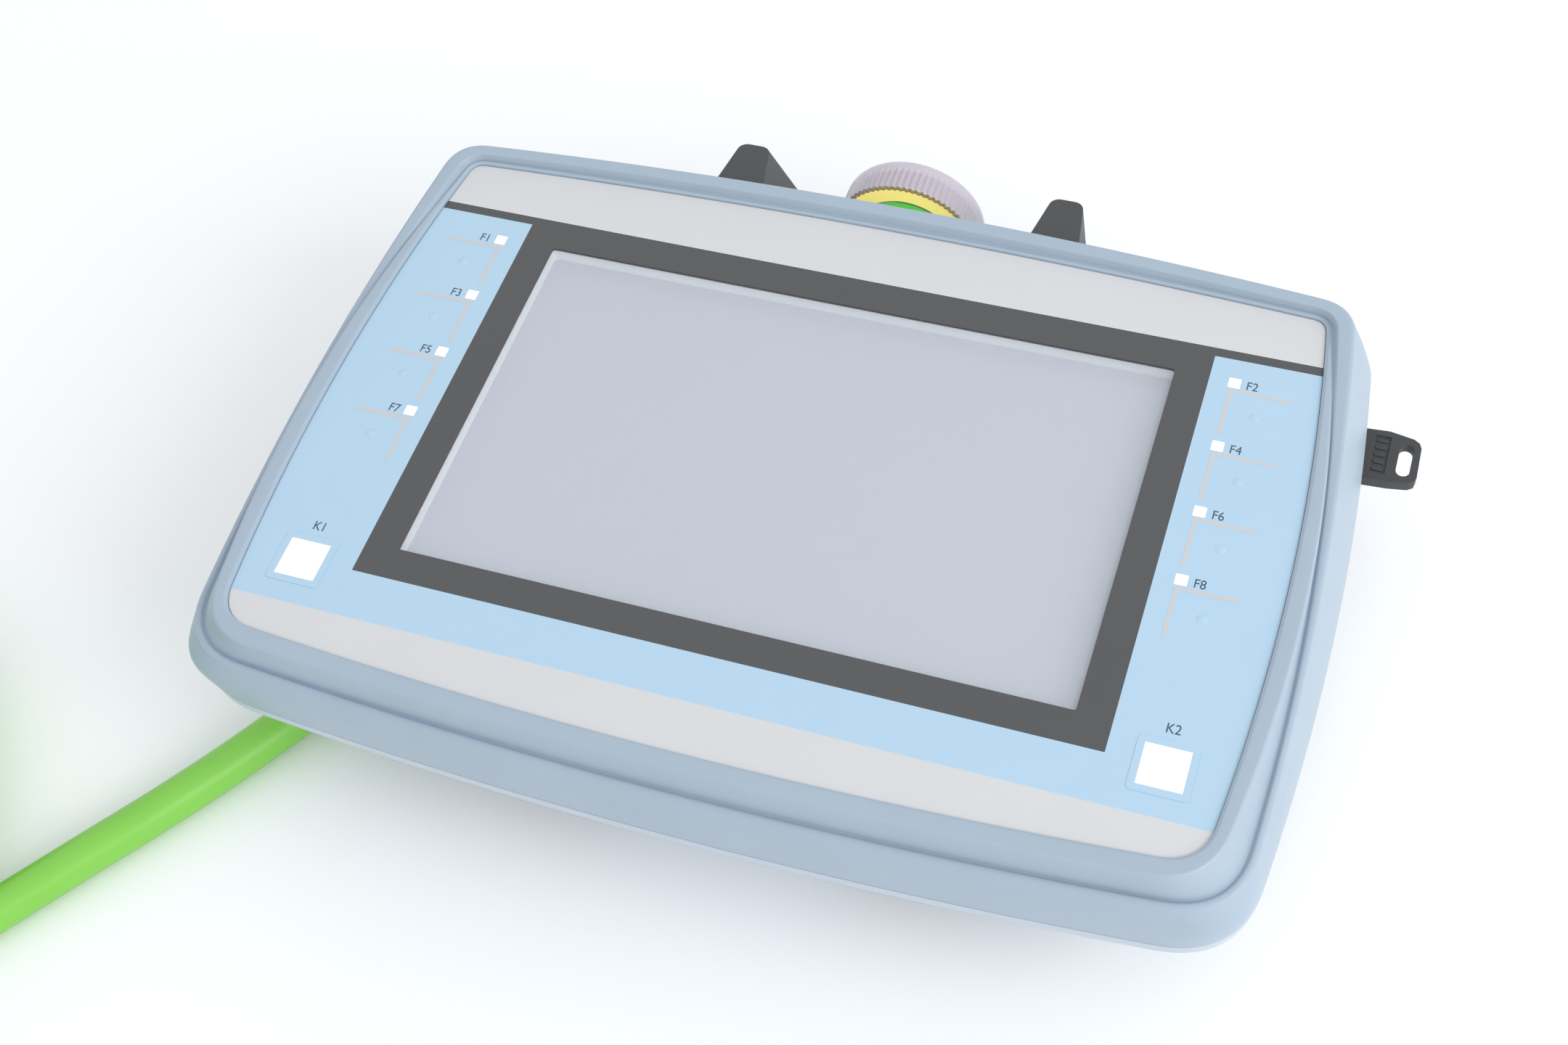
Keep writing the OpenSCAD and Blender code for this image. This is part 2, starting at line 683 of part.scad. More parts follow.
module usb_cover() {
    hinge_x = usb_x - usb_w / 2 + 1.2;
    color("#3c3d3f") difference() {
        union() {
            translate([hinge_x, usb_y - usb_h / 2 + 0.4, pan_z]) cube([usb_w - 2, usb_h - 0.8, 1.6]);
            translate([hinge_x, usb_y - usb_h / 2 + 0.4, pan_z + 0.8]) rotate([-90, 0, 0])
                cylinder(r = 0.8, h = usb_h - 0.8, $fn = 32);
            translate([usb_x + usb_w / 2 - 3, usb_y - 3, pan_z - 0.8]) cube([1.6, 6, 1]);
        }
        translate([usb_x, usb_y, 0]) slab(12, 5, 0.4, pan_z + 1, pan_z + 3);
    }
}

// Cable: the gland's axis starts on the left flank of the terminal housing
gland_r = 7.5;
gland_nut_r = 8.6;
gland_z = 11.2;
GLAND_START = [-34, 25.3, gland_z];
GLAND_DIR = [-0.682, -0.731, 0];
gland_turn = atan2(GLAND_DIR.y, GLAND_DIR.x);
module on_gland_axis(s) {
    translate(GLAND_START + GLAND_DIR * s) rotate([0, 0, gland_turn]) rotate([0, 90, 0]) children();
}
module gland_axis(s0, s1, r) {
    on_gland_axis(s0) cylinder(r = r, h = s1 - s0, $fn = 64);
}

module cable_gland() {
    color("#2f3133") difference() {
        union() {
            gland_axis(-6, 20, gland_r);
            gland_axis(20, 26, 6.4);
        }
        gland_axis(-7, 27, cable_d / 2 + 0.1);
    }
}

module gland_nut() {
    color("#2f3133") difference() {
        gland_axis(20.2, 31, gland_nut_r);
        gland_axis(19, 26.2, 6.4);
        gland_axis(26, 32, cable_d / 2 + 0.1);
        for (i = [0:11]) on_gland_axis(21) rotate([0, 0, i * 30]) translate([gland_nut_r + 0.4, 0, 0])
            cylinder(r = 0.9, h = 8, $fn = 16);
    }
}

relief_len = 36.4;
module bend_relief() {
    r = cable_d / 2;
    color("#3fae2a") on_gland_axis(31) rotate_extrude($fn = 48) polygon(concat(
        [[0, 0], [8, 0], [8, 3]],
        [for (i = [1:7]) for (s = [0, 1]) [7.6 - i * 0.25 + s * 0.5, 3 + i * 4 + s * 1.2]],
        [[r + 0.5, relief_len - 0.6], [r + 0.2, relief_len], [0, relief_len]]));
}

// Route of the cable from the relief's tip to the coil, laid on the resting surface
ROUTE = [[-80, -24, gland_z], [-86.6, -31.4, 10.9], [-92.8, -39.2, 10.1], [-98.8, -47.2, 9],
    [-104.7, -55.4, 7.7], [-110.5, -63.6, 6.5], [-116.1, -71.8, 5.7], [-121.6, -80, 5.3],
    [-132.8, -96.2, 5.25], [-144.4, -111.9, 5.25], [-156.5, -128.5, 5.25], [-167.9, -144.1, 5.4],
    [-179.4, -159.6, 5.8], [-187, -170, 6.1]];
COIL_CENTRE = [-238.9, -131.9];
coil_r = 54;
coil_z = 0.9;
coil_w = 1.5 * cable_d;
coil_h = 2 * cable_d;
coil_out = coil_r + cable_d;
coil_cut = 2.5;
tie_t = 0.85;
tie_w = 8;

// Frame of a sweep: each ring stands square to the route
function unit(v) = v / norm(v);
function heading(path, i) = let (n = len(path)) unit(path[min(i + 1, n - 1)] - path[max(i - 1, 0)]);
module sweep(path, r, sides) {
    n = len(path);
    rings = [for (i = [0:n - 1]) let (t = heading(path, i), u = unit(cross(t, [0, 0, 1])), v = cross(u, t))
        for (k = [0:sides - 1]) path[i] + r * (u * cos(360 * k / sides) + v * sin(360 * k / sides))];
    sides_list = [for (i = [0:n - 2], k = [0:sides - 1], half = [0, 1]) let (
        a = i * sides + k,
        b = i * sides + (k + 1) % sides,
        c = b + sides,
        d = a + sides)
        half == 0 ? [a, b, c] : [a, c, d]];
    polyhedron(rings, concat(sides_list, [[for (k = [sides - 1:-1:0]) k], [for (k = [0:sides - 1]) (n - 1) * sides + k]]));
}

// Last stretch: leaves the upper outer turn along its tangent and comes down to the plug
out_turn = -180;
out_len = 50;
out_drop = coil_z + 1.5 * cable_d - plug_r - 0.05;
OUT_START = [COIL_CENTRE.x + coil_out * cos(out_turn), COIL_CENTRE.y + coil_out * sin(out_turn),
    coil_z + 1.5 * cable_d];
OUT_DIR = [sin(out_turn), -cos(out_turn), 0];
OUT_STEPS = [[10, 0], [18, 0.5], [26, 1.75], [34, 3.2], [42, 4.45], [out_len, out_drop]];
PLUG_START = OUT_START + OUT_DIR * out_len - [0, 0, out_drop];
OUT_ROUTE = [for (p = OUT_STEPS) OUT_START + OUT_DIR * p[0] - [0, 0, p[1]]];

module cable() {
    color("#45b52f") {
        sweep(ROUTE, cable_d / 2, 12);
        sweep(OUT_ROUTE, cable_d / 2, 12);
    }
}

// Section of the coil around its middle radius, grown by d
function coil_section(d) = let (w = coil_w + d, c = coil_cut + 0.4 * d, top = coil_h + d)
    [[-w, c - d], [c - w, -d], [w - c, -d], [w, c - d], [w, top - c], [w - c, top], [c - w, top], [-w, top - c]];

module cable_coil() {
    color("#45b52f") translate([COIL_CENTRE.x, COIL_CENTRE.y, coil_z]) rotate_extrude($fn = 96)
        translate([coil_r, 0]) polygon(coil_section(0));
}

TIE_ANGLES = [60, 190];
module coil_ties() {
    color("#2b2b2d") translate([COIL_CENTRE.x, COIL_CENTRE.y, coil_z]) difference() {
        for (a = TIE_ANGLES) rotate([0, 0, a]) translate([coil_r, 0, 0]) rotate([90, 0, 0])
            translate([0, 0, -tie_w / 2]) linear_extrude(tie_w) polygon(coil_section(tie_t));
        rotate_extrude($fn = 96) translate([coil_r, 0]) polygon(coil_section(running_gap));
    }
}

module on_plug_axis(s) {
    translate(PLUG_START + OUT_DIR * s) rotate([0, 0, out_turn - 90]) rotate([0, 90, 0]) children();
}

module plug_body() {
    color("#b3b6ba") on_plug_axis(0) difference() {
        rotate_extrude($fn = 48) polygon([
            [0, 0], [6.4, 0], [6.6, 6], [9.5, 9], [10.4, 10], [10.4, 24], [9, 24], [9, 38],
            [8, 38], [8, 30], [0, 30]]);
        for (i = [0:7]) rotate([0, 0, i * 45]) translate([5, 0, 26]) cylinder(r = 0.6, h = 6, $fn = 16);
    }
}

module coupling_ring() {
    color("#8d9094") on_plug_axis(24.4) difference() {
        cylinder(r = plug_r, h = 14, $fn = 64);
        translate([0, 0, -1]) cylinder(r = 9.3, h = 16, $fn = 64);
        for (i = [0:17]) rotate([0, 0, i * 20]) translate([plug_r + 0.5, 0, 1.5]) cylinder(r = 0.9, h = 11, $fn = 16);
    }
}

front_shell();
rear_shell();
housing_seal();
overlay_foil();
touch_panel();
display_gasket();
lcd_module();
display_frame();
display_screws();
keypad_boards();
key_domes();
led_light_pipes();
main_board();
board_components();
board_screws();
terminal_housing();
terminal_board();
terminal_blocks();
compartment_cover();
cover_seal();
cover_screws();
housing_screws();
rating_plate();
left_grip();
right_grip();
left_enable_button();
right_enable_button();
enable_switches();
estop_body();
estop_nut();
estop_contact_block();
estop_green_ring();
estop_stem();
estop_cap();
estop_yellow_plate();
key_switch_body();
key_switch_nut();
key_contact_block();
key_rotor();
key();
function_key(0);  // f1_key
function_key(1);  // f2_key
function_key(2);  // f3_key
function_key(3);  // f4_key
function_key(4);  // f5_key
function_key(5);  // f6_key
function_key(6);  // f7_key
function_key(7);  // f8_key
corner_key(0);  // k1_key
corner_key(1);  // k2_key
usb_socket();
usb_cover();
cable_gland();
gland_nut();
bend_relief();
cable();
cable_coil();
coil_ties();
plug_body();
coupling_ring();
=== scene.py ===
import json
import math
from collections import namedtuple

import bmesh
import bpy
from mathutils import Matrix, Vector


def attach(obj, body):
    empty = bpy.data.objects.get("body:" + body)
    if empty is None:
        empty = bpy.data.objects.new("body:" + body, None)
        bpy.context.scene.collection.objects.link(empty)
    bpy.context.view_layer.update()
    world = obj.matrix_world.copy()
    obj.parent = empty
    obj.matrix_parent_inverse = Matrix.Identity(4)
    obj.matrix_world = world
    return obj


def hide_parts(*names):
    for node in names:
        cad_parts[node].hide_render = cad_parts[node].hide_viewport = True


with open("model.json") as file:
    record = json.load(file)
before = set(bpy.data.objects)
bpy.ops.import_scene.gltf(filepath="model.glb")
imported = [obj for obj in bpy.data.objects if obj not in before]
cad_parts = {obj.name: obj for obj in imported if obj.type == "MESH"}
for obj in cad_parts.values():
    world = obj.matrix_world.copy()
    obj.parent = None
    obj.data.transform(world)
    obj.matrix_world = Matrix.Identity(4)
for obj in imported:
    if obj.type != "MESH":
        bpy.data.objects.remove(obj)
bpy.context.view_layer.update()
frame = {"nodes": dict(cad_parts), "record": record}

MM = 0.001
scene = bpy.context.scene
scene.view_settings.view_transform = "Standard"

# ---------------------------------------------------------------- camera

SENSOR_W = 36
LENS = 48.97
NEAR_CLIP = 0.01
CAMERA_PLACE = (0.1205, -0.2589, 0.4452)
CAMERA_TURN = (34.977, 5.096, 18.460)


def make_camera():
    """The photograph's camera: from the front right, looking down at the panel on the table."""
    data = bpy.data.cameras.new("photo_camera")
    data.sensor_width = SENSOR_W
    data.lens = LENS
    data.clip_start = NEAR_CLIP
    camera = bpy.data.objects.new("photo_camera", data)
    camera.location = CAMERA_PLACE
    camera.rotation_euler = [math.radians(a) for a in CAMERA_TURN]
    scene.collection.objects.link(camera)
    scene.camera = camera


make_camera()

# ---------------------------------------------------------------- materials


def rgb(hex_colour):
    """Linear colour from a hex string."""
    parts = [int(hex_colour[i:i + 2], 16) / 255 for i in (1, 3, 5)]
    return [p / 12.92 if p <= 0.04045 else ((p + 0.055) / 1.055) ** 2.4 for p in parts]


def shade(colour, k):
    """A colour made darker or lighter, with full opacity."""
    return (min(1, colour[0] * k), min(1, colour[1] * k), min(1, colour[2] * k), 1)


def noise(nodes, links, vector, scale, detail=3, roughness=0.55):
    """A noise texture's value output."""
    texture = nodes.new("ShaderNodeTexNoise")
    texture.inputs["Scale"].default_value = scale
    texture.inputs["Detail"].default_value = detail
    texture.inputs["Roughness"].default_value = roughness
    links.new(vector, texture.inputs["Vector"])
    return texture.outputs["Fac"]


def surface(name, hex_colour, roughness, grain=0.5, depth=0.01, tint=0.05, spread=0.06,
            stretch=(1, 1, 1), patch=18, **sockets):
    """A material with its own grain: sizes in millimetres, colour and roughness varying a little."""
    material = bpy.data.materials.new(name)
    material.use_nodes = True
    nodes, links = material.node_tree.nodes, material.node_tree.links
    shader = nodes["Principled BSDF"]
    place = nodes.new("ShaderNodeTexCoord")
    mapping = nodes.new("ShaderNodeMapping")
    mapping.inputs["Scale"].default_value = stretch
    links.new(place.outputs["Object"], mapping.inputs["Vector"])
    fine = noise(nodes, links, mapping.outputs["Vector"], 1 / (grain * MM))
    broad = noise(nodes, links, mapping.outputs["Vector"], 1 / (patch * MM), 4, 0.6)
    colour = rgb(hex_colour)
    mix_colour = nodes.new("ShaderNodeMix")
    mix_colour.data_type = "RGBA"
    mix_colour.inputs["A"].default_value = shade(colour, 1 - tint)
    mix_colour.inputs["B"].default_value = shade(colour, 1 + tint)
    links.new(broad, mix_colour.inputs["Factor"])
    links.new(mix_colour.outputs["Result"], shader.inputs["Base Color"])
    spread_map = nodes.new("ShaderNodeMapRange")
    spread_map.inputs["To Min"].default_value = max(0.02, roughness - spread)
    spread_map.inputs["To Max"].default_value = min(1, roughness + spread)
    links.new(fine, spread_map.inputs["Value"])
    links.new(spread_map.outputs["Result"], shader.inputs["Roughness"])
    bump = nodes.new("ShaderNodeBump")
    bump.inputs["Distance"].default_value = depth * MM
    bump.inputs["Strength"].default_value = 1
    links.new(fine, bump.inputs["Height"])
    links.new(bump.outputs["Normal"], shader.inputs["Normal"])
    for socket, value in sockets.items():
        shader.inputs[socket.replace("_", " ")].default_value = value
    return material


FRONT_PLASTIC = surface("front_plastic", "#9eaebd", 0.42, grain=0.35, depth=0.012)
REAR_PLASTIC = surface("rear_plastic", "#b8c3cf", 0.45, grain=0.35, depth=0.012)
FOIL_SILVER = surface("foil_silver", "#cbccce", 0.5, grain=0.25, depth=0.006, tint=0.02)
FOIL_BLUE = surface("foil_blue", "#abc8dd", 0.5, grain=0.25, depth=0.006, tint=0.02)
FOIL_BLACK = surface("foil_black", "#4b4c4e", 0.42, grain=0.25, depth=0.005, tint=0.03)
FOIL_WHITE = surface("foil_white", "#f2f5f8", 0.5, grain=0.25, depth=0.006, tint=0.01)
PRINT_GREY = surface("print_grey", "#bfc2c5", 0.5, grain=0.25, depth=0.004, tint=0.02)
PRINT_DARK = surface("print_dark", "#3e4d5c", 0.5, grain=0.25, depth=0.004, tint=0.04)
LIGHT_PIPE = surface("light_pipe", "#ffffff", 0.22, grain=0.6, depth=0.003, tint=0.01)
TOUCH_FILM = surface("touch_film", "#dfe3ea", 0.16, grain=0.8, depth=0.002, tint=0.01, patch=60,
                     Alpha=0.2)
# Pale display face: painted reflection of a white ceiling on the dark screen; the pale, mostly clear touch
# film above adds to it
LCD_PAINTED_REFLECTION = surface("lcd_painted_reflection", "#b9bec8", 0.25, grain=0.8, depth=0.002, tint=0.01, patch=60)
GASKET_FOAM = surface("gasket_foam", "#eceef1", 0.8, grain=0.4, depth=0.05)
DARK_GRIP = surface("dark_grip", "#434446", 0.55, grain=0.3, depth=0.03, tint=0.07)
DARK_PLASTIC = surface("dark_plastic", "#3a3b3e", 0.42, grain=0.3, depth=0.015, tint=0.06)
KEY_PLASTIC = surface("key_plastic", "#3b3c3e", 0.45, grain=0.3, depth=0.02, tint=0.07)
COVER_PLASTIC = surface("cover_plastic", "#5c5f63", 0.5, grain=0.3, depth=0.03, tint=0.06)
SEAL_RUBBER = surface("seal_rubber", "#3c3e41", 0.7, grain=0.3, depth=0.02, tint=0.08)
STOP_CAP = surface("stop_cap", "#c9c1cf", 0.2, grain=1.2, depth=0.004, tint=0.04,
                   Alpha=0.62, Coat_Weight=0.5, Coat_Roughness=0.08)
# Dark see-through band on the cap's lowest rim: painted shade for the shadowed gap between cap and yellow
# plate
STOP_RIM_PAINTED_SHADE = surface("stop_rim_painted_shade", "#55535c", 0.3, grain=1.2, depth=0.004, tint=0.05, Alpha=0.72)
# The yellow plate and the green ring glow a little: painted light, neither is a lamp; it brightens them as if
# lit through the clear cap
STOP_YELLOW_PAINTED_GLOW = surface("stop_yellow", "#ffe57a", 0.3, grain=0.6, depth=0.006, tint=0.04,
                      Coat_Weight=0.3, Emission_Color=(1, 0.78, 0.28, 1), Emission_Strength=0.45)
STOP_GREEN_PAINTED_GLOW = surface("stop_green", "#35a83a", 0.32, grain=0.6, depth=0.006, tint=0.05,
                     Coat_Weight=0.3, Emission_Color=(0.06, 0.5, 0.08, 1), Emission_Strength=0.3)
LOCK_METAL = surface("lock_metal", "#c2c5c8", 0.24, grain=0.12, depth=0.003, tint=0.05,
                     stretch=(4, 1, 1), Metallic=1.0)
PLUG_METAL = surface("plug_metal", "#b8babd", 0.3, grain=0.15, depth=0.004, tint=0.06,
                     Metallic=1.0)
SCREW_STEEL = surface("screw_steel", "#b0b2b5", 0.34, grain=0.15, depth=0.006, tint=0.1,
                      Metallic=1.0)
SHEET_STEEL = surface("sheet_steel", "#b4b7ba", 0.36, grain=0.2, depth=0.006, tint=0.06,
                      stretch=(1, 8, 1), Metallic=1.0)
CIRCUIT_BOARD = surface("circuit_board", "#2c6b45", 0.35, grain=1.6, depth=0.03, tint=0.16,
                        patch=5, Coat_Weight=0.4)
CHIP_PLASTIC = surface("chip_plastic", "#2a2c2f", 0.5, grain=0.3, depth=0.01, tint=0.1)
TERMINAL_PLASTIC = surface("terminal_plastic", "#4a9b62", 0.42, grain=0.4, depth=0.01, tint=0.06)
SWITCH_PLASTIC = surface("switch_plastic", "#e2ddd1", 0.45, grain=0.4, depth=0.01, tint=0.04)
LABEL_FOIL = surface("label_foil", "#d9dbdd", 0.4, grain=0.3, depth=0.004, tint=0.03)
CABLE_GREEN = surface("cable_green", "#7dc447", 0.34, grain=1.4, depth=0.02, tint=0.07, patch=30,
                      Coat_Weight=0.15, Coat_Roughness=0.3)
RELIEF_GREEN = surface("relief_green", "#6fb23d", 0.42, grain=0.5, depth=0.02, tint=0.06)
TIE_STRAP = surface("tie_strap", "#303236", 0.8, grain=0.45, depth=0.12, tint=0.18,
                    stretch=(1, 1, 3))
FLOOR_WHITE = surface("floor_white", "#f7f8f9", 0.7, grain=6, depth=0.01, tint=0.01, patch=300)

# ---------------------------------------------------------------- making pieces


def add(name, mesh, body, materials, replaces=(), soft_edge=35):
    """Makes a piece of the object from a mesh, with smooth shading up to an angle between faces."""
    mesh.name = name
    thing = bpy.data.objects.new(name, mesh)
    scene.collection.objects.link(thing)
    for material in materials:
        mesh.materials.append(material)
    carried_normals = mesh.attributes.get("custom_normal")
    if carried_normals:
        mesh.attributes.remove(carried_normals)
    mesh.shade_smooth()
    mesh.set_sharp_from_angle(angle=math.radians(soft_edge))
    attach(thing, body)
    if replaces:
        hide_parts(*replaces)
    return thing


def mesh_from(bm):
    """A mesh with its faces turned outwards; the bmesh is used up."""
    bmesh.ops.recalc_face_normals(bm, faces=bm.faces)
    mesh = bpy.data.meshes.new("mesh")
    bm.to_mesh(mesh)
    bm.free()
    return mesh


def soften(thing, width, angle=28, segments=3):
    """Rounds a piece's edges and keeps its flat faces flat."""
    bevel = thing.modifiers.new("edges", "BEVEL")
    bevel.width = width * MM
    bevel.segments = segments
    bevel.limit_method = "ANGLE"
    bevel.angle_limit = math.radians(angle)
    bevel.use_clamp_overlap = True
    flat = thing.modifiers.new("flat_faces", "WEIGHTED_NORMAL")
    flat.keep_sharp = True
    return thing


SAME_POINT = 0.002
FLAT_ANGLE = 0.6


def copy_of(node):
    """A CAD node's mesh with its doubled vertices joined and its flat faces whole."""
    bm = bmesh.new()
    bm.from_mesh(frame["nodes"][node].data)
    bmesh.ops.remove_doubles(bm, verts=bm.verts, dist=SAME_POINT * MM)
    bmesh.ops.dissolve_limit(bm, angle_limit=math.radians(FLAT_ANGLE), verts=bm.verts, edges=bm.edges)
    return bm


def body_of(node):
    """The moving body that a CAD node belongs to."""
    return next(b for b, nodes in frame["record"]["behaviour"]["bodies"].items() if node in nodes)


def dress(node, material, width=0.3, name=None, angle=28):
    """The CAD shape with rounded edges and a finished surface."""
    thing = add(name or node + "_finished", mesh_from(copy_of(node)), body_of(node),
                [material], [node])
    return soften(thing, width, angle)


def paint(material, *nodes):
    """Gives CAD nodes that stay as they are a finished surface."""
    for node in nodes:
        mesh = frame["nodes"][node].data
        mesh.materials.clear()
        mesh.materials.append(material)


def lathe(profile, place, sides=96, radius_at=None):
    """Turns (radius, height) points around Z, then puts the result in place."""
    bm = bmesh.new()
    rings = []
    for r, h in profile:
        if r < 1e-6:
            rings.append([bm.verts.new(place @ Vector((0, 0, h * MM)))])
            continue
        ring = []
        for k in range(sides):
            a = 2 * math.pi * k / sides
            rr = (radius_at(r, h, a) if radius_at else r) * MM
            ring.append(bm.verts.new(place @ Vector((rr * math.cos(a), rr * math.sin(a), h * MM))))
        rings.append(ring)
    for low, high in zip(rings, rings[1:]):
        join_rings(bm, low, high)
    if len(rings[0]) > 1 and len(rings[-1]) > 1:
        join_rings(bm, rings[-1], rings[0])
    return mesh_from(bm)


def join_rings(bm, low, high):
    """Faces between two rings of vertices, either of which may be a single point."""
    n = max(len(low), len(high))
    for k in range(n):
        j = (k + 1) % n
        if len(low) == 1:
            bm.faces.new((low[0], high[j], high[k]))
        elif len(high) == 1:
            bm.faces.new((low[k], low[j], high[0]))
        else:
            bm.faces.new((low[k], low[j], high[j], high[k]))


def along(start, direction):
    """A frame whose Z runs along a direction from a start point in millimetres."""
    turn = Vector(direction).to_track_quat("Z", "Y").to_matrix().to_4x4()
    return Matrix.Translation(Vector(start) * MM) @ turn


def solid_object(bm):
    """A temporary object for cutting and joining."""
    thing = bpy.data.objects.new("tool", mesh_from(bm))
    scene.collection.objects.link(thing)
    return thing


def cylinder(radius, start, direction, length, sides=64):
    """A round bar from a start point along a direction."""
    bm = bmesh.new()
    middle = along(start, direction) @ Matrix.Translation((0, 0, length * MM / 2))
    bmesh.ops.create_cone(bm, cap_ends=True, segments=sides, radius1=radius * MM, radius2=radius * MM,
                          depth=length * MM, matrix=middle)
    return bm


def block(low, high):
    """A box between two corners in millimetres."""
    size = [(b - a) * MM for a, b in zip(low, high)]
    middle = [(a + b) / 2 * MM for a, b in zip(low, high)]
    bm = bmesh.new()
    fit = Matrix.Translation(middle) @ Matrix.Diagonal((*size, 1))
    bmesh.ops.create_cube(bm, size=1, matrix=fit)
    return bm


def rounded_block(low, high, radius, steps=5):
    """A box whose four upright edges are round."""
    x0, y0, z0 = low
    x1, y1, z1 = high
    points = []
    for q, (cx, cy) in enumerate([(x1 - radius, y1 - radius), (x0 + radius, y1 - radius),
                                  (x0 + radius, y0 + radius), (x1 - radius, y0 + radius)]):
        for k in range(steps + 1):
            a = math.radians(90 * q + 90 * k / steps)
            points.append((cx + radius * math.cos(a), cy + radius * math.sin(a)))
    return prism(points, z0, z1)


def prism(points, z0, z1):
    """An upright solid between two heights over an outline of (x, y) points."""
    bm = bmesh.new()
    low = [bm.verts.new(Vector((x, y, z0)) * MM) for x, y in points]
    high = [bm.verts.new(Vector((x, y, z1)) * MM) for x, y in points]
    join_rings(bm, low, high)
    bm.faces.new(low[::-1])
    bm.faces.new(high)
    return bm


def join(parts):
    """Several separate solids in one bmesh."""
    whole = bmesh.new()
    for part in parts:
        mesh = bpy.data.meshes.new("part")
        part.to_mesh(mesh)
        part.free()
        whole.from_mesh(mesh)
        bpy.data.meshes.remove(mesh)
    return whole


def carve(bm, steps):
    """Cuts or joins solids one after another and gives the resulting mesh."""
    thing = solid_object(bm)
    tools = []
    for kind, tool in steps:
        tools.append(solid_object(tool))
        modifier = thing.modifiers.new("step", "BOOLEAN")
        modifier.operation = kind
        modifier.solver = "EXACT"
        modifier.object = tools[-1]
    evaluated = thing.evaluated_get(bpy.context.evaluated_depsgraph_get())
    mesh = bpy.data.meshes.new_from_object(evaluated)
    for old in (thing, *tools):
        bpy.data.objects.remove(old)
    return mesh


# ---------------------------------------------------------------- cable, in millimetres

CABLE_D = 10.4
ROUTE = [(-80, -24, 11.2), (-86.6, -31.4, 10.9), (-92.8, -39.2, 10.1), (-98.8, -47.2, 9),
         (-104.7, -55.4, 7.7), (-110.5, -63.6, 6.5), (-116.1, -71.8, 5.7), (-121.6, -80, 5.3),
         (-132.8, -96.2, 5.25), (-144.4, -111.9, 5.25), (-156.5, -128.5, 5.25), (-167.9, -144.1, 5.4),
         (-179.4, -159.6, 5.8)]
COIL_CENTRE = Vector((-238.9, -131.9, 0))
COIL_R = 54
COIL_Z = 0.9
COIL_START_ANGLE = -36.3
COIL_END_ANGLE = -180
COIL_TURNS = 5 + (COIL_START_ANGLE - COIL_END_ANGLE) / 360
POINTS_PER_TURN = 64
OUT_STEPS = [(10, 0), (18, -0.5), (26, -1.75), (34, -3.2), (42, -4.45), (50, -4.95)]


def smooth_step(t):
    """0 up to t = 0, 1 from t = 1 on, and a smooth rise between them."""
    t = max(0, min(1, t))
    return t * t * (3 - 2 * t)


def coil_point(t):
    """The cord after t turns: two rings inwards, up to the second layer, and two rings outwards."""
    inwards = smooth_step((t - 0.7) / 0.3) + smooth_step((t - 1.7) / 0.3)
    outwards = smooth_step((t - 3.4) / 0.3) + smooth_step((t - 4.4) / 0.3)
    r = COIL_R + CABLE_D * (1 - inwards + outwards)
    z = COIL_Z + CABLE_D * (0.5 + smooth_step((t - 2.35) / 0.35))
    a = math.radians(COIL_START_ANGLE - 360 * t)
    return Vector((COIL_CENTRE.x + r * math.cos(a), COIL_CENTRE.y + r * math.sin(a), z))


def cable_points():
    """The cord's whole centre line, from the bend relief through the coil to the plug."""
    count = round(COIL_TURNS * POINTS_PER_TURN)
    coil = [coil_point(COIL_TURNS * k / count) for k in range(count + 1)]
    end = math.radians(COIL_END_ANGLE)
    out = Vector((math.sin(end), -math.cos(end), 0))
    tail = [coil[-1] + out * run + Vector((0, 0, drop)) for run, drop in OUT_STEPS]
    return [Vector(p) for p in ROUTE] + coil + tail


def make_cable():
    """The cord on one smooth curve, and the points of that curve in metres."""
    points = [p * MM for p in cable_points()]
    curve = bpy.data.curves.new("cable_curve", "CURVE")
    curve.dimensions = "3D"
    curve.bevel_depth = CABLE_D / 2 * MM
    curve.bevel_resolution = 5
    curve.resolution_u = 5
    curve.use_fill_caps = True
    spline = curve.splines.new("BEZIER")
    spline.bezier_points.add(len(points) - 1)
    for bezier_point, p in zip(spline.bezier_points, points):
        bezier_point.co = p
        bezier_point.handle_left_type = "AUTO"
        bezier_point.handle_right_type = "AUTO"
    curve.materials.append(CABLE_GREEN)
    cable = bpy.data.objects.new("cable_sheath", curve)
    scene.collection.objects.link(cable)
    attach(cable, "panel")
    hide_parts("cable", "cable_coil")
    return cable, points


cable, cable_path = make_cable()
relief_piece = dress("bend_relief", RELIEF_GREEN, 0.25)
ties_piece = dress("coil_ties", TIE_STRAP, 0.25)
plug_piece = dress("plug_body", PLUG_METAL, 0.25)
coupling_piece = dress("coupling_ring", PLUG_METAL, 0.25)
dress("cable_gland", DARK_PLASTIC, 0.3)
dress("gland_nut", DARK_PLASTIC, 0.3)

# ---------------------------------------------------------------- housing outlines, in millimetres

FACE_Z = 66
FOIL_T = 0.7
PLATE_TOP = FACE_Z - FOIL_T
PLATE_LOW = FACE_Z - 3.5
RIM_Z = FACE_Z - 1.5
RIM_SLOPE = 0.0566
PARTING_Z = 45
FLANK_Z = 54.5
REAR_TOP = PARTING_Z - 0.6
PAN_Z = 20
WALL = 2.6
PAN_IN = PAN_Z + WALL

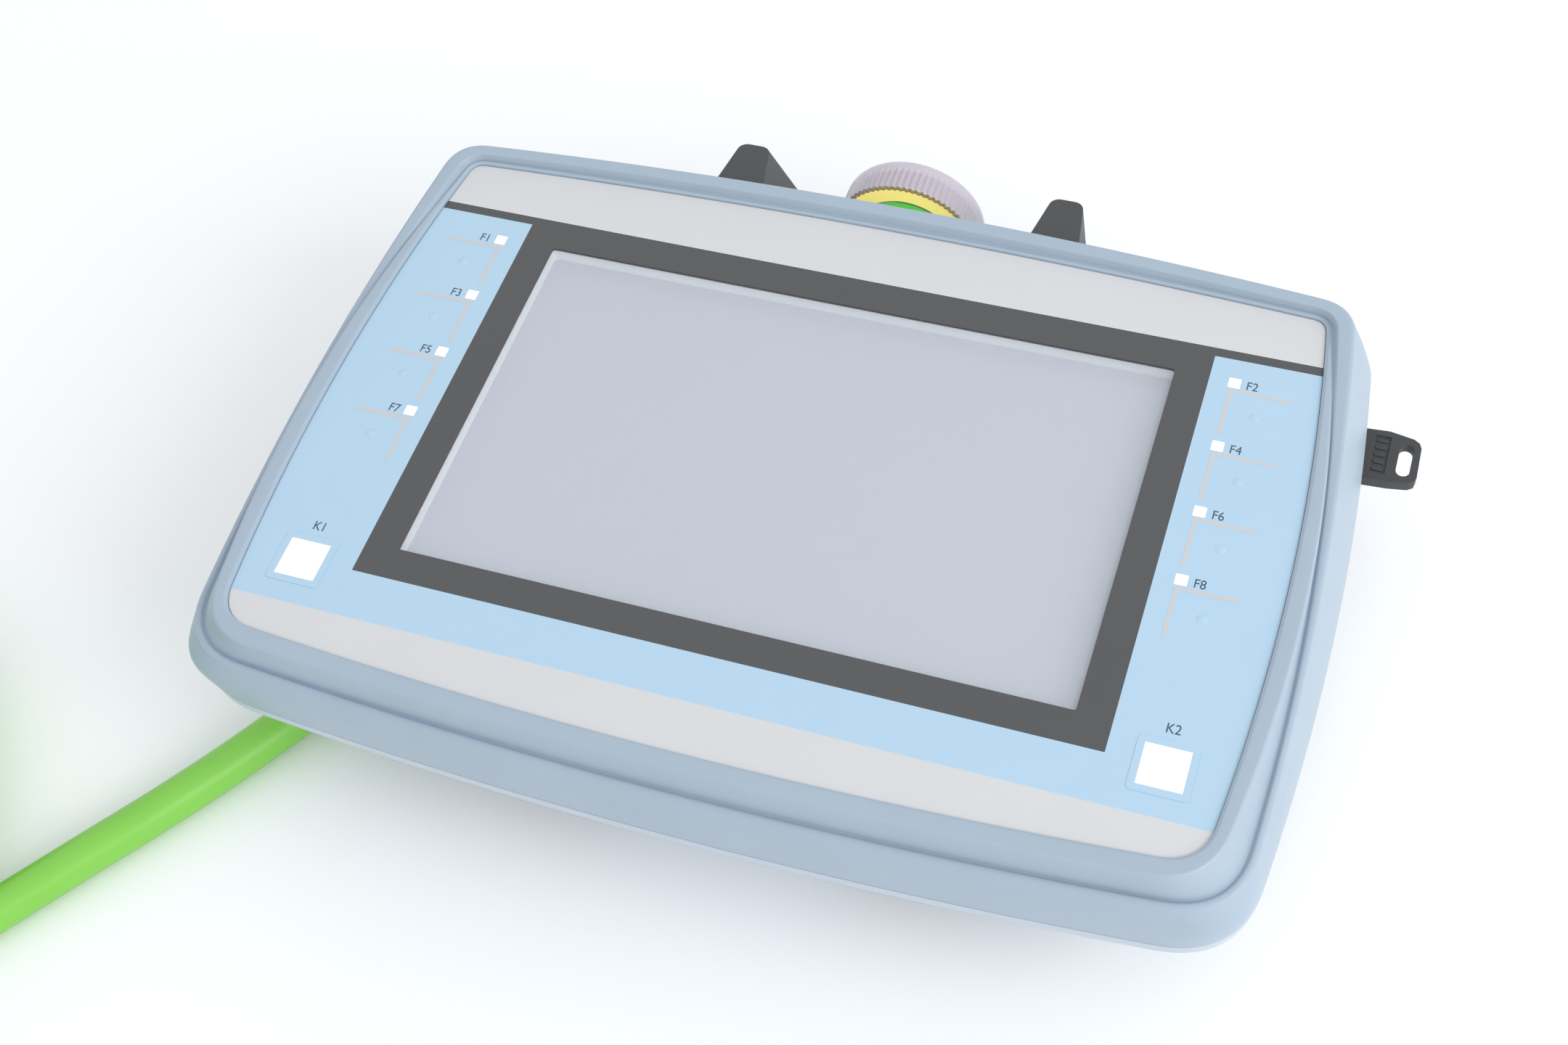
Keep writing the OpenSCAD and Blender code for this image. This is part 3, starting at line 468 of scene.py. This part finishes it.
# The sides, top and bottom of an outline are wide arcs; the cuts set how early its corners turn
Outline = namedtuple("Outline", "half_w wide_y side_r top top_r low low_r top_cut low_cut")
MEMBRANE = Outline(111.4, -8, 520, 70.3, 1778, -77, 1253, 3, 8.5)
RING = Outline(115.8, -11.8, 353, 71.4, 1778, -81.4, 1410, 4, 12)
CREASE = Outline(116.6, -31, 530, 71.9, 1600, -82.3, 1350, 4.5, 13)
RIM_IN = Outline(117.3, -31.8, 545, 72.7, 1500, -83.2, 1290, 5, 14)
RIM_OUT = Outline(118.8, -27.6, 720, 76.5, 1319, -84.8, 1290, 8, 15)
FLANK = Outline(121.4, -14.6, 665, 81.1, 1606, -86.1, 1290, 9.1, 9)
PARTING = Outline(122.7, -4, 620, 84, 1840, -85.8, 1250, 9.5, 16)
BACK = Outline(118.2, -4, 620, 80, 1840, -72, 940, 11, 20)
WINDOW = Outline(83.3, 0, 90000, 52.3, 90000, -52.3, 90000, 1, 1)


def mixed(a, b, t):
    """An outline between two others."""
    return Outline(*(p * (1 - t) + q * t for p, q in zip(a, b)))


CUT_GROWTH = 0.6
LEAST_CUT = 0.8


def grow(o, d):
    """An outline moved outwards by a distance."""
    return Outline(o.half_w + d, o.wide_y, o.side_r + d, o.top + d, o.top_r + d, o.low - d, o.low_r + d,
                   max(LEAST_CUT, o.top_cut + CUT_GROWTH * d), max(LEAST_CUT, o.low_cut + CUT_GROWTH * d))


def side_x(o, y):
    return o.half_w - (y - o.wide_y) ** 2 / (2 * o.side_r)


def top_y(o, x):
    return o.top - x * x / (2 * o.top_r)


def low_y(o, x):
    return o.low + x * x / (2 * o.low_r)


CORNER_GUESS = 100
CORNER_STEPS = 4


def corner(o, edge):
    """The point where the right side meets the top or bottom edge."""
    x = CORNER_GUESS
    for _ in range(CORNER_STEPS):
        x = side_x(o, edge(o, x))
    return x, edge(o, x)


def bezier(a, b, c, t):
    """A point on the curve from a to c that bends towards b."""
    return tuple(p * (1 - t) ** 2 + q * 2 * t * (1 - t) + r * t * t for p, q, r in zip(a, b, c))


EDGE_STEPS = 14
SIDE_STEPS = 22


def outline(o):
    """Points around an outline, starting at the top centre and going clockwise."""
    n = EDGE_STEPS
    top_corner, low_corner = corner(o, top_y), corner(o, low_y)
    top_start = (top_corner[0] - o.top_cut, top_y(o, top_corner[0] - o.top_cut))
    top_end = (side_x(o, top_corner[1] - o.top_cut), top_corner[1] - o.top_cut)
    low_start = (side_x(o, low_corner[1] + o.low_cut), low_corner[1] + o.low_cut)
    low_end = (low_corner[0] - o.low_cut, low_y(o, low_corner[0] - o.low_cut))
    half = [(top_start[0] * i / n, top_y(o, top_start[0] * i / n)) for i in range(n)]
    half += [bezier(top_start, top_corner, top_end, i / n) for i in range(n)]
    for i in range(SIDE_STEPS):
        y = top_end[1] + (low_start[1] - top_end[1]) * i / SIDE_STEPS
        half.append((side_x(o, y), y))
    half += [bezier(low_start, low_corner, low_end, i / n) for i in range(n)]
    half += [(low_end[0] * (1 - i / n), low_y(o, low_end[0] * (1 - i / n))) for i in range(n + 1)]
    return half + [(-x, y) for x, y in half[-2:0:-1]]


NO_CEILING = 999


def level(o, z, slope=0.0, ceiling=NO_CEILING):
    """An outline's points at a height, which may slope from front to back."""
    return [Vector((x, y, min(ceiling, z + slope * y))) for x, y in outline(o)]


CURVE_STEPS = (0, 0.25, 0.5, 0.75, 1)
CURVE_REACH = 0.45


def rounded(rings, radii, closed):
    """Turns the corner at each ring into a small curve of rings."""
    count = len(rings)
    result = []
    for k, (ring, radius) in enumerate(zip(rings, radii)):
        if radius == 0 or (not closed and k in (0, count - 1)):
            result.append(ring)
            continue
        before, after = rings[k - 1], rings[(k + 1) % count]
        for t in CURVE_STEPS:
            new = []
            for p, c, q in zip(before, ring, after):
                a = c + (p - c).normalized() * min(radius, (p - c).length * CURVE_REACH)
                b = c + (q - c).normalized() * min(radius, (q - c).length * CURVE_REACH)
                new.append(a * (1 - t) ** 2 + c * 2 * t * (1 - t) + b * t * t)
            result.append(new)
    return result


def loft(rings, closed=False):
    """A solid through rings: capped at both ends, or closed on itself."""
    bm = bmesh.new()
    rows = [[bm.verts.new(p * MM) for p in ring] for ring in rings]
    for low, high in zip(rows, rows[1:]):
        join_rings(bm, low, high)
    if closed:
        join_rings(bm, rows[-1], rows[0])
    else:
        bm.faces.new(rows[0][::-1])
        bm.faces.new(rows[-1])
    return bm


# ---------------------------------------------------------------- keys and their places

LED_X = 89.7
LED_TOP_Y = 45
KEY_PITCH = 18.1
KEY_X = 96
KEY_DROP = 8.5
CORNER_Y = -53.8
CORNER_W = 12.8
LED_W = 2.8
LED_GAP = 0.02
KEY_GAP = 0.015
CORNER_GAP = 0.012
FKEY_R = 1.3
ROWS = [LED_TOP_Y - KEY_PITCH * row for row in range(4)]
HOUSING_SCREWS = [(-76, 66), (76, 66), (-111, 0), (111, 0), (-80, -63), (80, -63)]
STOP_SEAT_Y = 82.6
LOCK_Y = 56.5
LOCK_Z = 33.5
USB = (-75, 12)


UP = (0, 0, 1)
KEY_HOLE_SIDES = 40
CORNER_KEY_R = 1


def key_hole_tools(z0, z1):
    """Round holes for the function keys, square ones for the lamps and rounded ones for K1 and K2."""
    tools = []
    lamp_half = LED_W / 2 + LED_GAP
    key_half = CORNER_W / 2 + CORNER_GAP
    for side in (-1, 1):
        for y in ROWS:
            tools.append(cylinder(FKEY_R + KEY_GAP, (side * KEY_X, y - KEY_DROP, z0), UP, z1 - z0,
                                  KEY_HOLE_SIDES))
            tools.append(block((side * LED_X - lamp_half, y - lamp_half, z0),
                               (side * LED_X + lamp_half, y + lamp_half, z1)))
        tools.append(rounded_block((side * KEY_X - key_half, CORNER_Y - key_half, z0),
                                   (side * KEY_X + key_half, CORNER_Y + key_half, z1), CORNER_KEY_R))
    return join(tools)


STOP_AXIS = (0, 1, 0)
STOP_BORE_R = 11.2
STOP_BORE_Y = 70
STOP_RECESS_R = 19.2
STOP_RECESS_SIDES = 128
STOP_NUT_R = 14.6
STOP_NUT_Y = 60
STOP_NUT_H = 17.6
STOP_CUT_H = 20


def stop_tools():
    """The emergency stop's hole, its round recess and the pocket of its nut."""
    bore = cylinder(STOP_BORE_R, (0, STOP_BORE_Y, PARTING_Z), STOP_AXIS, STOP_CUT_H)
    recess = cylinder(STOP_RECESS_R, (0, STOP_SEAT_Y, PARTING_Z), STOP_AXIS, STOP_CUT_H, STOP_RECESS_SIDES)
    nut_pocket = cylinder(STOP_NUT_R, (0, STOP_NUT_Y, PARTING_Z), STOP_AXIS, STOP_NUT_H)
    return [("DIFFERENCE", tool) for tool in (bore, recess, nut_pocket)]


LIP_Z = FACE_Z + 0.95
SEAT_Z = FACE_Z + 0.5
FOIL_GAP = 0.12
SHELL_EDGE = 32


def make_front_shell():
    """Each ring of the section with the radius of its corner, from the window round and back to it."""
    shape = [
        (level(WINDOW, PLATE_LOW), 0),
        (level(grow(RING, -3), PLATE_LOW), 0),
        (level(grow(RIM_OUT, -3.4), PLATE_LOW - 6), 0),
        (level(grow(FLANK, -WALL), FLANK_Z), 0),
        (level(grow(PARTING, -WALL), PARTING_Z), 0),
        (level(PARTING, PARTING_Z), 0.3),
        (level(FLANK, FLANK_Z), 4),
        (level(RIM_OUT, RIM_Z - 1, RIM_SLOPE), 0.5),
        (level(grow(RIM_OUT, -0.3), RIM_Z - 0.3, RIM_SLOPE), 0.3),
        (level(grow(RIM_OUT, -1), RIM_Z, RIM_SLOPE), 0.3),
        (level(RIM_IN, RIM_Z, RIM_SLOPE), 0.35),
        (level(CREASE, RIM_Z - 0.7, RIM_SLOPE, SEAT_Z), 0.35),
        (level(RING, SEAT_Z), 0.3),
        (level(grow(RING, -0.5), LIP_Z), 0.25),
        (level(grow(MEMBRANE, 0.8), LIP_Z), 0.25),
        (level(grow(MEMBRANE, FOIL_GAP), SEAT_Z), 0),
        (level(grow(MEMBRANE, FOIL_GAP), PLATE_TOP), 0),
        (level(WINDOW, PLATE_TOP), 0)]
    rings = rounded([s[0] for s in shape], [s[1] for s in shape], closed=True)
    tools = stop_tools() + [("DIFFERENCE", key_hole_tools(PLATE_LOW - 1, PLATE_TOP + 1))]
    mesh = carve(loft(rings, closed=True), tools)
    add("front_shell_moulding", mesh, "panel", [FRONT_PLASTIC], ["front_shell"],
        SHELL_EDGE)


def rear_ring(k, d):
    """Ring k of the rear shell's outer surface, from the back up, moved inwards by d."""
    spec = [(grow(BACK, -2.2 - d), PAN_Z), (grow(BACK, -0.8 - d), PAN_Z + 0.6),
            (grow(mixed(BACK, PARTING, 0.1), -1.4 - d), PAN_Z + 2),
            (grow(PARTING, -0.3 - d), PARTING_Z - 4), (grow(PARTING, -0.1 - d), REAR_TOP)]
    return level(*spec[k])


POST_R = 4.5
WELL_R = 3.6
WELL_TOP_Z = 37
WELL_SIDES = 48
POCKET_HALF = 13.5
POCKET_X = (112.5, 140)
POCKET_Z = (24, 43)
POCKET_R = 1.2
CHEEK_T = 2.5
CHEEK_X = (108.5, 130)
CHEEK_INSET = 1.3
LOCK_BORE_R = 8.1
LOCK_BORE_X = 100
LOCK_BORE_H = 20
USB_RECESS = (11, 8)
USB_RECESS_R = 0.8
USB_HOLE = (7, 4)
WIRE_OPENING = (25, 45)
WIRE_OPENING_R = 4


def make_cheeks():
    """The thick wall around the key switch's pocket, following the shell's side."""
    solid = loft([rear_ring(k, CHEEK_INSET) for k in range(5)])
    reach = POCKET_HALF + CHEEK_T
    side_part = block((CHEEK_X[0], LOCK_Y - reach, PAN_IN - 1), (CHEEK_X[1], LOCK_Y + reach, REAR_TOP - 0.5))
    cheeks = bmesh.new()
    cheeks.from_mesh(carve(solid, [("INTERSECT", side_part)]))
    return cheeks


def centred_block(place, half, z0, z1, radius):
    """A block around a place, with round upright edges."""
    return rounded_block((place[0] - half[0], place[1] - half[1], z0),
                         (place[0] + half[0], place[1] + half[1], z1), radius)


def make_rear_shell():
    """The open pan with its screw posts and the openings for lock, USB socket and wires."""
    rings = rounded([rear_ring(k, 0) for k in range(5)] + [level(grow(PARTING, -WALL), REAR_TOP)],
                    [0, 0.6, 1.2, 2.5, 0.3, 0], closed=False)
    rings += [level(grow(mixed(BACK, PARTING, 0.85), -WALL), PARTING_Z - 5),
              level(grow(mixed(BACK, PARTING, 0.12), -WALL - 1.4), PAN_IN + 2),
              level(grow(BACK, -WALL - 1.5), PAN_IN)]
    posts = join([cylinder(POST_R, (x, y, PAN_IN - 1), UP, PARTING_Z - PAN_IN + 1)
                  for x, y in HOUSING_SCREWS])
    cheeks = make_cheeks()
    wells = join([cylinder(WELL_R, (x, y, PAN_Z - 1), UP, WELL_TOP_Z - PAN_Z, WELL_SIDES)
                  for x, y in HOUSING_SCREWS])
    pocket = rounded_block((POCKET_X[0], LOCK_Y - POCKET_HALF, POCKET_Z[0]),
                           (POCKET_X[1], LOCK_Y + POCKET_HALF, POCKET_Z[1]), POCKET_R)
    wire_opening = centred_block((0, 0), WIRE_OPENING, PAN_Z - 1, PAN_IN + 1, WIRE_OPENING_R)
    lock_bore = cylinder(LOCK_BORE_R, (LOCK_BORE_X, LOCK_Y, LOCK_Z), (1, 0, 0), LOCK_BORE_H)
    usb_recess = centred_block(USB, USB_RECESS, PAN_Z - 1, PAN_Z + 2, USB_RECESS_R)
    usb_hole = block((USB[0] - USB_HOLE[0], USB[1] - USB_HOLE[1], PAN_Z - 1),
                     (USB[0] + USB_HOLE[0], USB[1] + USB_HOLE[1], PAN_Z + 9))
    steps = [("UNION", posts), ("UNION", cheeks)]
    steps += [("DIFFERENCE", tool) for tool in (wells, pocket, wire_opening, lock_bore, usb_recess, usb_hole)]
    mesh = carve(loft(rings), steps + stop_tools())
    add("rear_shell_moulding", mesh, "panel", [REAR_PLASTIC], ["rear_shell"],
        SHELL_EDGE)


make_front_shell()
make_rear_shell()

# ---------------------------------------------------------------- printed membrane

BLACK_X = 84
BLACK_TOP = 54
BLUE_TOP = 51.6
BLACK_LOW = -53.5
BLUE_LOW = -65
SCREEN_W = 152.4
SCREEN_H = 91.4


def split_along(bm, axis, values):
    """Cuts the faces along straight lines without removing anything."""
    for value in values:
        point, normal = Vector(), Vector()
        point[axis], normal[axis] = value * MM, 1
        bmesh.ops.bisect_plane(bm, geom=bm.verts[:] + bm.edges[:] + bm.faces[:], dist=1e-7,
                               plane_co=point, plane_no=normal)


def print_colour(x, y):
    """Index of the printed colour at a place: silver, blue or black."""
    if y > BLACK_TOP or y < BLUE_LOW:
        return 0
    if y > BLUE_TOP or (abs(x) < BLACK_X and y > BLACK_LOW):
        return 2
    return 1


WINDOW_R = 0.6


def make_membrane():
    """The foil with its window and key holes, coloured field by field."""
    sheet = loft([level(MEMBRANE, PLATE_TOP), level(MEMBRANE, FACE_Z)])
    window = rounded_block((-SCREEN_W / 2, -SCREEN_H / 2, PLATE_TOP - 1),
                           (SCREEN_W / 2, SCREEN_H / 2, FACE_Z + 1), WINDOW_R)
    holes = key_hole_tools(PLATE_TOP - 1, FACE_Z + 1)
    cut = carve(sheet, [("DIFFERENCE", window), ("DIFFERENCE", holes)])
    bm = bmesh.new()
    bm.from_mesh(cut)
    split_along(bm, 0, (-BLACK_X, BLACK_X))
    split_along(bm, 1, (BLACK_TOP, BLUE_TOP, BLACK_LOW, BLUE_LOW))
    for face in bm.faces:
        middle = face.calc_center_median() / MM
        face.material_index = print_colour(middle.x, middle.y)
    add("printed_membrane", mesh_from(bm), "panel",
        [FOIL_SILVER, FOIL_BLUE, FOIL_BLACK], ["overlay_foil"])


PRINT_T = 0.03
LINE_W = 1.0
LINE_DROP = 1.8
LINE_OUT = 13
LINE_DOWN = 13
LABEL_H = 2.3
LABEL_X = 93.7
LABEL_UP = -1.25
LABEL_NARROW = 0.86
LETTER_SHARE = 0.7
CORNER_LABEL_UP = 8


def make_legend_lines():
    """A light line from each indicator outwards and down beside its key."""
    parts = []
    for side in (-1, 1):
        for y in ROWS:
            y1 = y - LINE_DROP
            x0, x1 = side * (LED_X - LINE_W), side * (LED_X + LINE_OUT)
            parts.append(block((min(x0, x1), y1 - LINE_W, FACE_Z), (max(x0, x1), y1, FACE_Z + PRINT_T)))
            x2 = x0 + side * LINE_W
            parts.append(block((min(x0, x2), y1 - LINE_DOWN, FACE_Z),
                               (max(x0, x2), y1 - LINE_W, FACE_Z + PRINT_T)))
    add("legend_lines", mesh_from(join(parts)), "panel", [PRINT_GREY])


def label(text, x, y):
    """A key's own number, printed flat. Letters fill about 0.7 of the font's size."""
    curve = bpy.data.curves.new("label", "FONT")
    curve.body = text
    curve.size = LABEL_H / LETTER_SHARE * MM
    curve.extrude = PRINT_T / 2 * MM
    curve.align_x = "CENTER"
    temporary = bpy.data.objects.new("label", curve)
    scene.collection.objects.link(temporary)
    evaluated = temporary.evaluated_get(bpy.context.evaluated_depsgraph_get())
    mesh = bpy.data.meshes.new_from_object(evaluated)
    bpy.data.objects.remove(temporary)
    narrow = Matrix.Diagonal((LABEL_NARROW, 1, 1, 1))
    mesh.transform(Matrix.Translation(Vector((x, y, FACE_Z + PRINT_T / 2)) * MM) @ narrow)
    add("label_" + text.lower(), mesh, "panel", [PRINT_DARK])


def make_labels():
    """F1 to F8 beside their lamps, and K1 and K2 above their keys."""
    for row, y in enumerate(ROWS):
        for column, side in enumerate((-1, 1)):
            label("F%d" % (2 * row + column + 1), side * LABEL_X, y + LABEL_UP)
    label("K1", -KEY_X, CORNER_Y + CORNER_LABEL_UP)
    label("K2", KEY_X, CORNER_Y + CORNER_LABEL_UP)


DOME_EDGE = 50


def make_function_keys():
    """Each key is a soft dome under the foil that moves with its own joint."""
    for number in range(1, 9):
        node = "f%d_key" % number
        mesh = mesh_from(copy_of(node))
        add(node + "_dome", mesh, body_of(node), [FOIL_BLUE], [node], DOME_EDGE)


WHITE_SQUARE = 9.6


def make_corner_keys():
    """K1 and K2, each with a white square printed on its blue face."""
    for number, side in ((1, -1), (2, 1)):
        node = "k%d_key" % number
        bm = copy_of(node)
        half = WHITE_SQUARE / 2
        split_along(bm, 0, (side * KEY_X - half, side * KEY_X + half))
        split_along(bm, 1, (CORNER_Y - half, CORNER_Y + half))
        for face in bm.faces:
            p = face.calc_center_median() / MM
            inside = abs(p.x - side * KEY_X) < half and abs(p.y - CORNER_Y) < half
            face.material_index = 1 if inside else 0
        add(node + "_print", mesh_from(bm), body_of(node), [FOIL_BLUE, FOIL_WHITE], [node])


make_membrane()
make_legend_lines()
make_labels()
make_function_keys()
make_corner_keys()
dress("led_light_pipes", LIGHT_PIPE, 0.04)

# ---------------------------------------------------------------- emergency stop

CAP_R = 18.2
CAP_TOP_Y = 97.8
CAP_H = 10.7
STEM_BORE = 6.05
FLUTES = 72
FLUTE_DEPTH = 0.35
FLUTE_LOW = -0.6
CAP_WALL = 0.9
CAP_LEDGE = 1.4
# Height of the painted shade band at the cap's lower edge
CAP_SHADE_BAND_H = 0.45
FLUTE_HIGH = 7.3
FLUTE_SHARE = 0.36
FLUTE_MARGIN = 0.9
CAP_CORNER_R = 3.2
CAP_SKIRT = 1.6
CAP_ROOF = 3.4
STEM_ROOF = 1.2
CAP_SHADE_EDGE = 38


def fluted(r, h, a):
    """Upright grooves around the cap's lower part, fading out towards the round top edge."""
    if r < CAP_R - FLUTE_MARGIN:
        return r
    fade = smooth_step((h - FLUTE_LOW) / 0.5) * smooth_step((FLUTE_HIGH - h) / 1.2)
    wave = (a * FLUTES / (2 * math.pi)) % 1 - 0.5
    groove = max(0, 1 - (wave / FLUTE_SHARE) ** 2)
    return r - FLUTE_DEPTH * fade * groove


def make_cap():
    """The cap's (radius, height) section from the top centre down the side and up inside it."""
    centre_r, centre_h = CAP_R - CAP_CORNER_R, CAP_H - CAP_CORNER_R
    top = [(centre_r + CAP_CORNER_R * math.sin(a), centre_h + CAP_CORNER_R * math.cos(a))
           for a in [math.radians(10 * k) for k in range(10)]]
    side = [(CAP_R, FLUTE_HIGH - 0.2 - k * 0.35) for k in range(15)]
    rim = [(CAP_R, 1.4), (CAP_R, 0.8), (CAP_R, 0.4), (CAP_R - 0.1, 0.1), (CAP_R - 0.3, 0),
           (CAP_R - CAP_WALL, 0), (CAP_R - CAP_WALL, CAP_LEDGE), (CAP_R - CAP_SKIRT, CAP_LEDGE)]
    inside = [(CAP_R - CAP_SKIRT, CAP_H - CAP_ROOF), (STEM_BORE, CAP_H - CAP_ROOF),
              (STEM_BORE, CAP_H - STEM_ROOF), (0, CAP_H - STEM_ROOF)]
    profile = [(0, CAP_H)] + top + side + rim + inside
    mesh = lathe(profile, along((0, CAP_TOP_Y - CAP_H, PARTING_Z), (0, 1, 0)), FLUTES * 8, fluted)
    # Faces in the cap's lowest band get the dark material: painted shade, not a colour of the cap itself
    for face in mesh.polygons:
        if face.center.y / MM < CAP_TOP_Y - CAP_H + CAP_SHADE_BAND_H:
            face.material_index = 1
    add("stop_cap_fluted", mesh, "stop_head", [STOP_CAP, STOP_RIM_PAINTED_SHADE], ["estop_cap"],
        CAP_SHADE_EDGE)


make_cap()
dress("estop_yellow_plate", STOP_YELLOW_PAINTED_GLOW, 0.2)
dress("estop_green_ring", STOP_GREEN_PAINTED_GLOW, 0.3)
dress("estop_body", DARK_PLASTIC, 0.25)
dress("estop_stem", SHEET_STEEL, 0.3)

# ---------------------------------------------------------------- key switch and key

dress("key_switch_body", LOCK_METAL, 0.35)
dress("key_rotor", LOCK_METAL, 0.2)

RIB_COUNT = 5
RIB_Z = 1.1
RIB_PITCH = 2.1
RIB_HALF_W = 0.45
RIB_HALF_T = 0.2
RIB_X = (122.5, 125.1)
RIB_SHIFT = 0.9


def make_key():
    """The key's grip with five plain ribs on each side."""
    dress("key", KEY_PLASTIC, 0.45, "key_grip")
    ribs = []
    for side in (-1, 1):
        z = LOCK_Z + side * RIB_Z
        for k in range(RIB_COUNT):
            y = LOCK_Y + RIB_SHIFT + (k - 2) * RIB_PITCH
            ribs.append(block((RIB_X[0], y - RIB_HALF_W, z - RIB_HALF_T),
                              (RIB_X[1], y + RIB_HALF_W, z + RIB_HALF_T)))
    rib_piece = add("key_grip_ribs", mesh_from(join(ribs)), "lock_key", [KEY_PLASTIC])
    soften(rib_piece, 0.15)


make_key()

# ---------------------------------------------------------------- grips, back and underside

dress("left_grip", DARK_GRIP, 1.4, angle=25)
dress("right_grip", DARK_GRIP, 1.4, angle=25)
dress("left_enable_button", DARK_PLASTIC, 0.6)
dress("right_enable_button", DARK_PLASTIC, 0.6)
dress("terminal_housing", REAR_PLASTIC, 0.5)
dress("compartment_cover", COVER_PLASTIC, 0.5)
dress("cover_seal", SEAL_RUBBER, 0.15)
dress("cover_screws", SCREW_STEEL, 0.25)
dress("housing_screws", SCREW_STEEL, 0.25)
dress("rating_plate", LABEL_FOIL, 0.1)
dress("usb_cover", DARK_PLASTIC, 0.25)
dress("usb_socket", SHEET_STEEL, 0.1)
paint(SEAL_RUBBER, "housing_seal")

# ---------------------------------------------------------------- inside the housing


def frame_ring(outer, inner, z0, z1):
    """A flat rectangular ring from its outer and inner sizes."""
    rim = rounded_block((-outer[0] / 2, -outer[1] / 2, z0), (outer[0] / 2, outer[1] / 2, z1), 1)
    hole = rounded_block((-inner[0] / 2, -inner[1] / 2, z0 - 1), (inner[0] / 2, inner[1] / 2, z1 + 1), 1)
    return carve(rim, [("DIFFERENCE", hole)])


FILM_T = 0.25
FILM_HALF = (83, 52)
LCD_Z = PLATE_TOP - 3.5
LIGHT_FRAME = (165, 103)
LIGHT_FRAME_GAP = 0.2
LAYER_GAP = 0.02


def make_screen():
    """The clear touch film, and the light frame that shows between it and the display."""
    film = centred_block((0, 0), FILM_HALF, PLATE_TOP - FILM_T, PLATE_TOP, 1)
    add("touch_film", mesh_from(film), "panel", [TOUCH_FILM], ["touch_panel"])
    ring = frame_ring(LIGHT_FRAME, (SCREEN_W + LIGHT_FRAME_GAP, SCREEN_H + LIGHT_FRAME_GAP),
                      LCD_Z + LAYER_GAP, PLATE_TOP - FILM_T - LAYER_GAP)
    add("light_frame", ring, "panel", [GASKET_FOAM], ["display_gasket"])


make_screen()
# The display's face gets the pale painted-reflection colour, not the screen's own dark colour
paint(LCD_PAINTED_REFLECTION, "lcd_module")
paint(SHEET_STEEL, "display_frame", "key_domes")
paint(SCREW_STEEL, "display_screws", "board_screws")
paint(CIRCUIT_BOARD, "keypad_boards", "main_board", "terminal_board")
paint(CHIP_PLASTIC, "board_components")
paint(TERMINAL_PLASTIC, "terminal_blocks")
paint(SWITCH_PLASTIC, "enable_switches", "estop_contact_block", "key_contact_block")
paint(DARK_PLASTIC, "estop_nut", "key_switch_nut")

# ---------------------------------------------------------------- floor and light

FLOOR_SIZE = 6
FLOOR_GAP = 0.0002


def make_floor():
    """A plain pale floor just below the panel's back."""
    bm = bmesh.new()
    bmesh.ops.create_grid(bm, x_segments=8, y_segments=8, size=FLOOR_SIZE / 2)
    mesh = mesh_from(bm)
    mesh.materials.append(FLOOR_WHITE)
    floor = bpy.data.objects.new("floor", mesh)
    floor.location.z = -FLOOR_GAP
    scene.collection.objects.link(floor)


def make_lamp(name, place, target, size, power):
    """A round softbox at a place, turned to a target."""
    data = bpy.data.lights.new(name, "AREA")
    data.shape = "DISK"
    data.size = size
    data.energy = power
    lamp = bpy.data.objects.new(name, data)
    lamp.location = place
    lamp.rotation_euler = (Vector(target) - Vector(place)).to_track_quat("-Z", "Y").to_euler()
    scene.collection.objects.link(lamp)


BRIGHT_SIDE = (0.85, 0.5, 0)
SLANT = 0.08
SKY_WHITE = (0.97, 0.985, 1, 1)
SKY_STRENGTH = 0.96
SOFTBOX_PLACE = (1.2, -0.4, 0.85)
SOFTBOX_TARGET = (0, 0, 0.03)
SOFTBOX_SIZE = 1.1
SOFTBOX_POWER = 11


def make_world(strength):
    """A white studio, brighter on the right and behind the panel."""
    world = bpy.data.worlds.new("studio")
    world.use_nodes = True
    background = world.node_tree.nodes["Background"]
    background.inputs["Color"].default_value = SKY_WHITE
    nodes, links = world.node_tree.nodes, world.node_tree.links
    direction = nodes.new("ShaderNodeTexCoord")
    slant = nodes.new("ShaderNodeVectorMath")
    slant.operation = "DOT_PRODUCT"
    slant.inputs[1].default_value = BRIGHT_SIDE
    links.new(direction.outputs["Generated"], slant.inputs[0])
    level_map = nodes.new("ShaderNodeMapRange")
    level_map.inputs["From Min"].default_value = -1
    level_map.inputs["To Min"].default_value = strength * (1 - SLANT)
    level_map.inputs["To Max"].default_value = strength * (1 + SLANT)
    links.new(slant.outputs["Value"], level_map.inputs["Value"])
    links.new(level_map.outputs["Result"], background.inputs["Strength"])
    scene.world = world


make_floor()
make_world(SKY_STRENGTH)
make_lamp("right_softbox", SOFTBOX_PLACE, SOFTBOX_TARGET, SOFTBOX_SIZE, SOFTBOX_POWER)
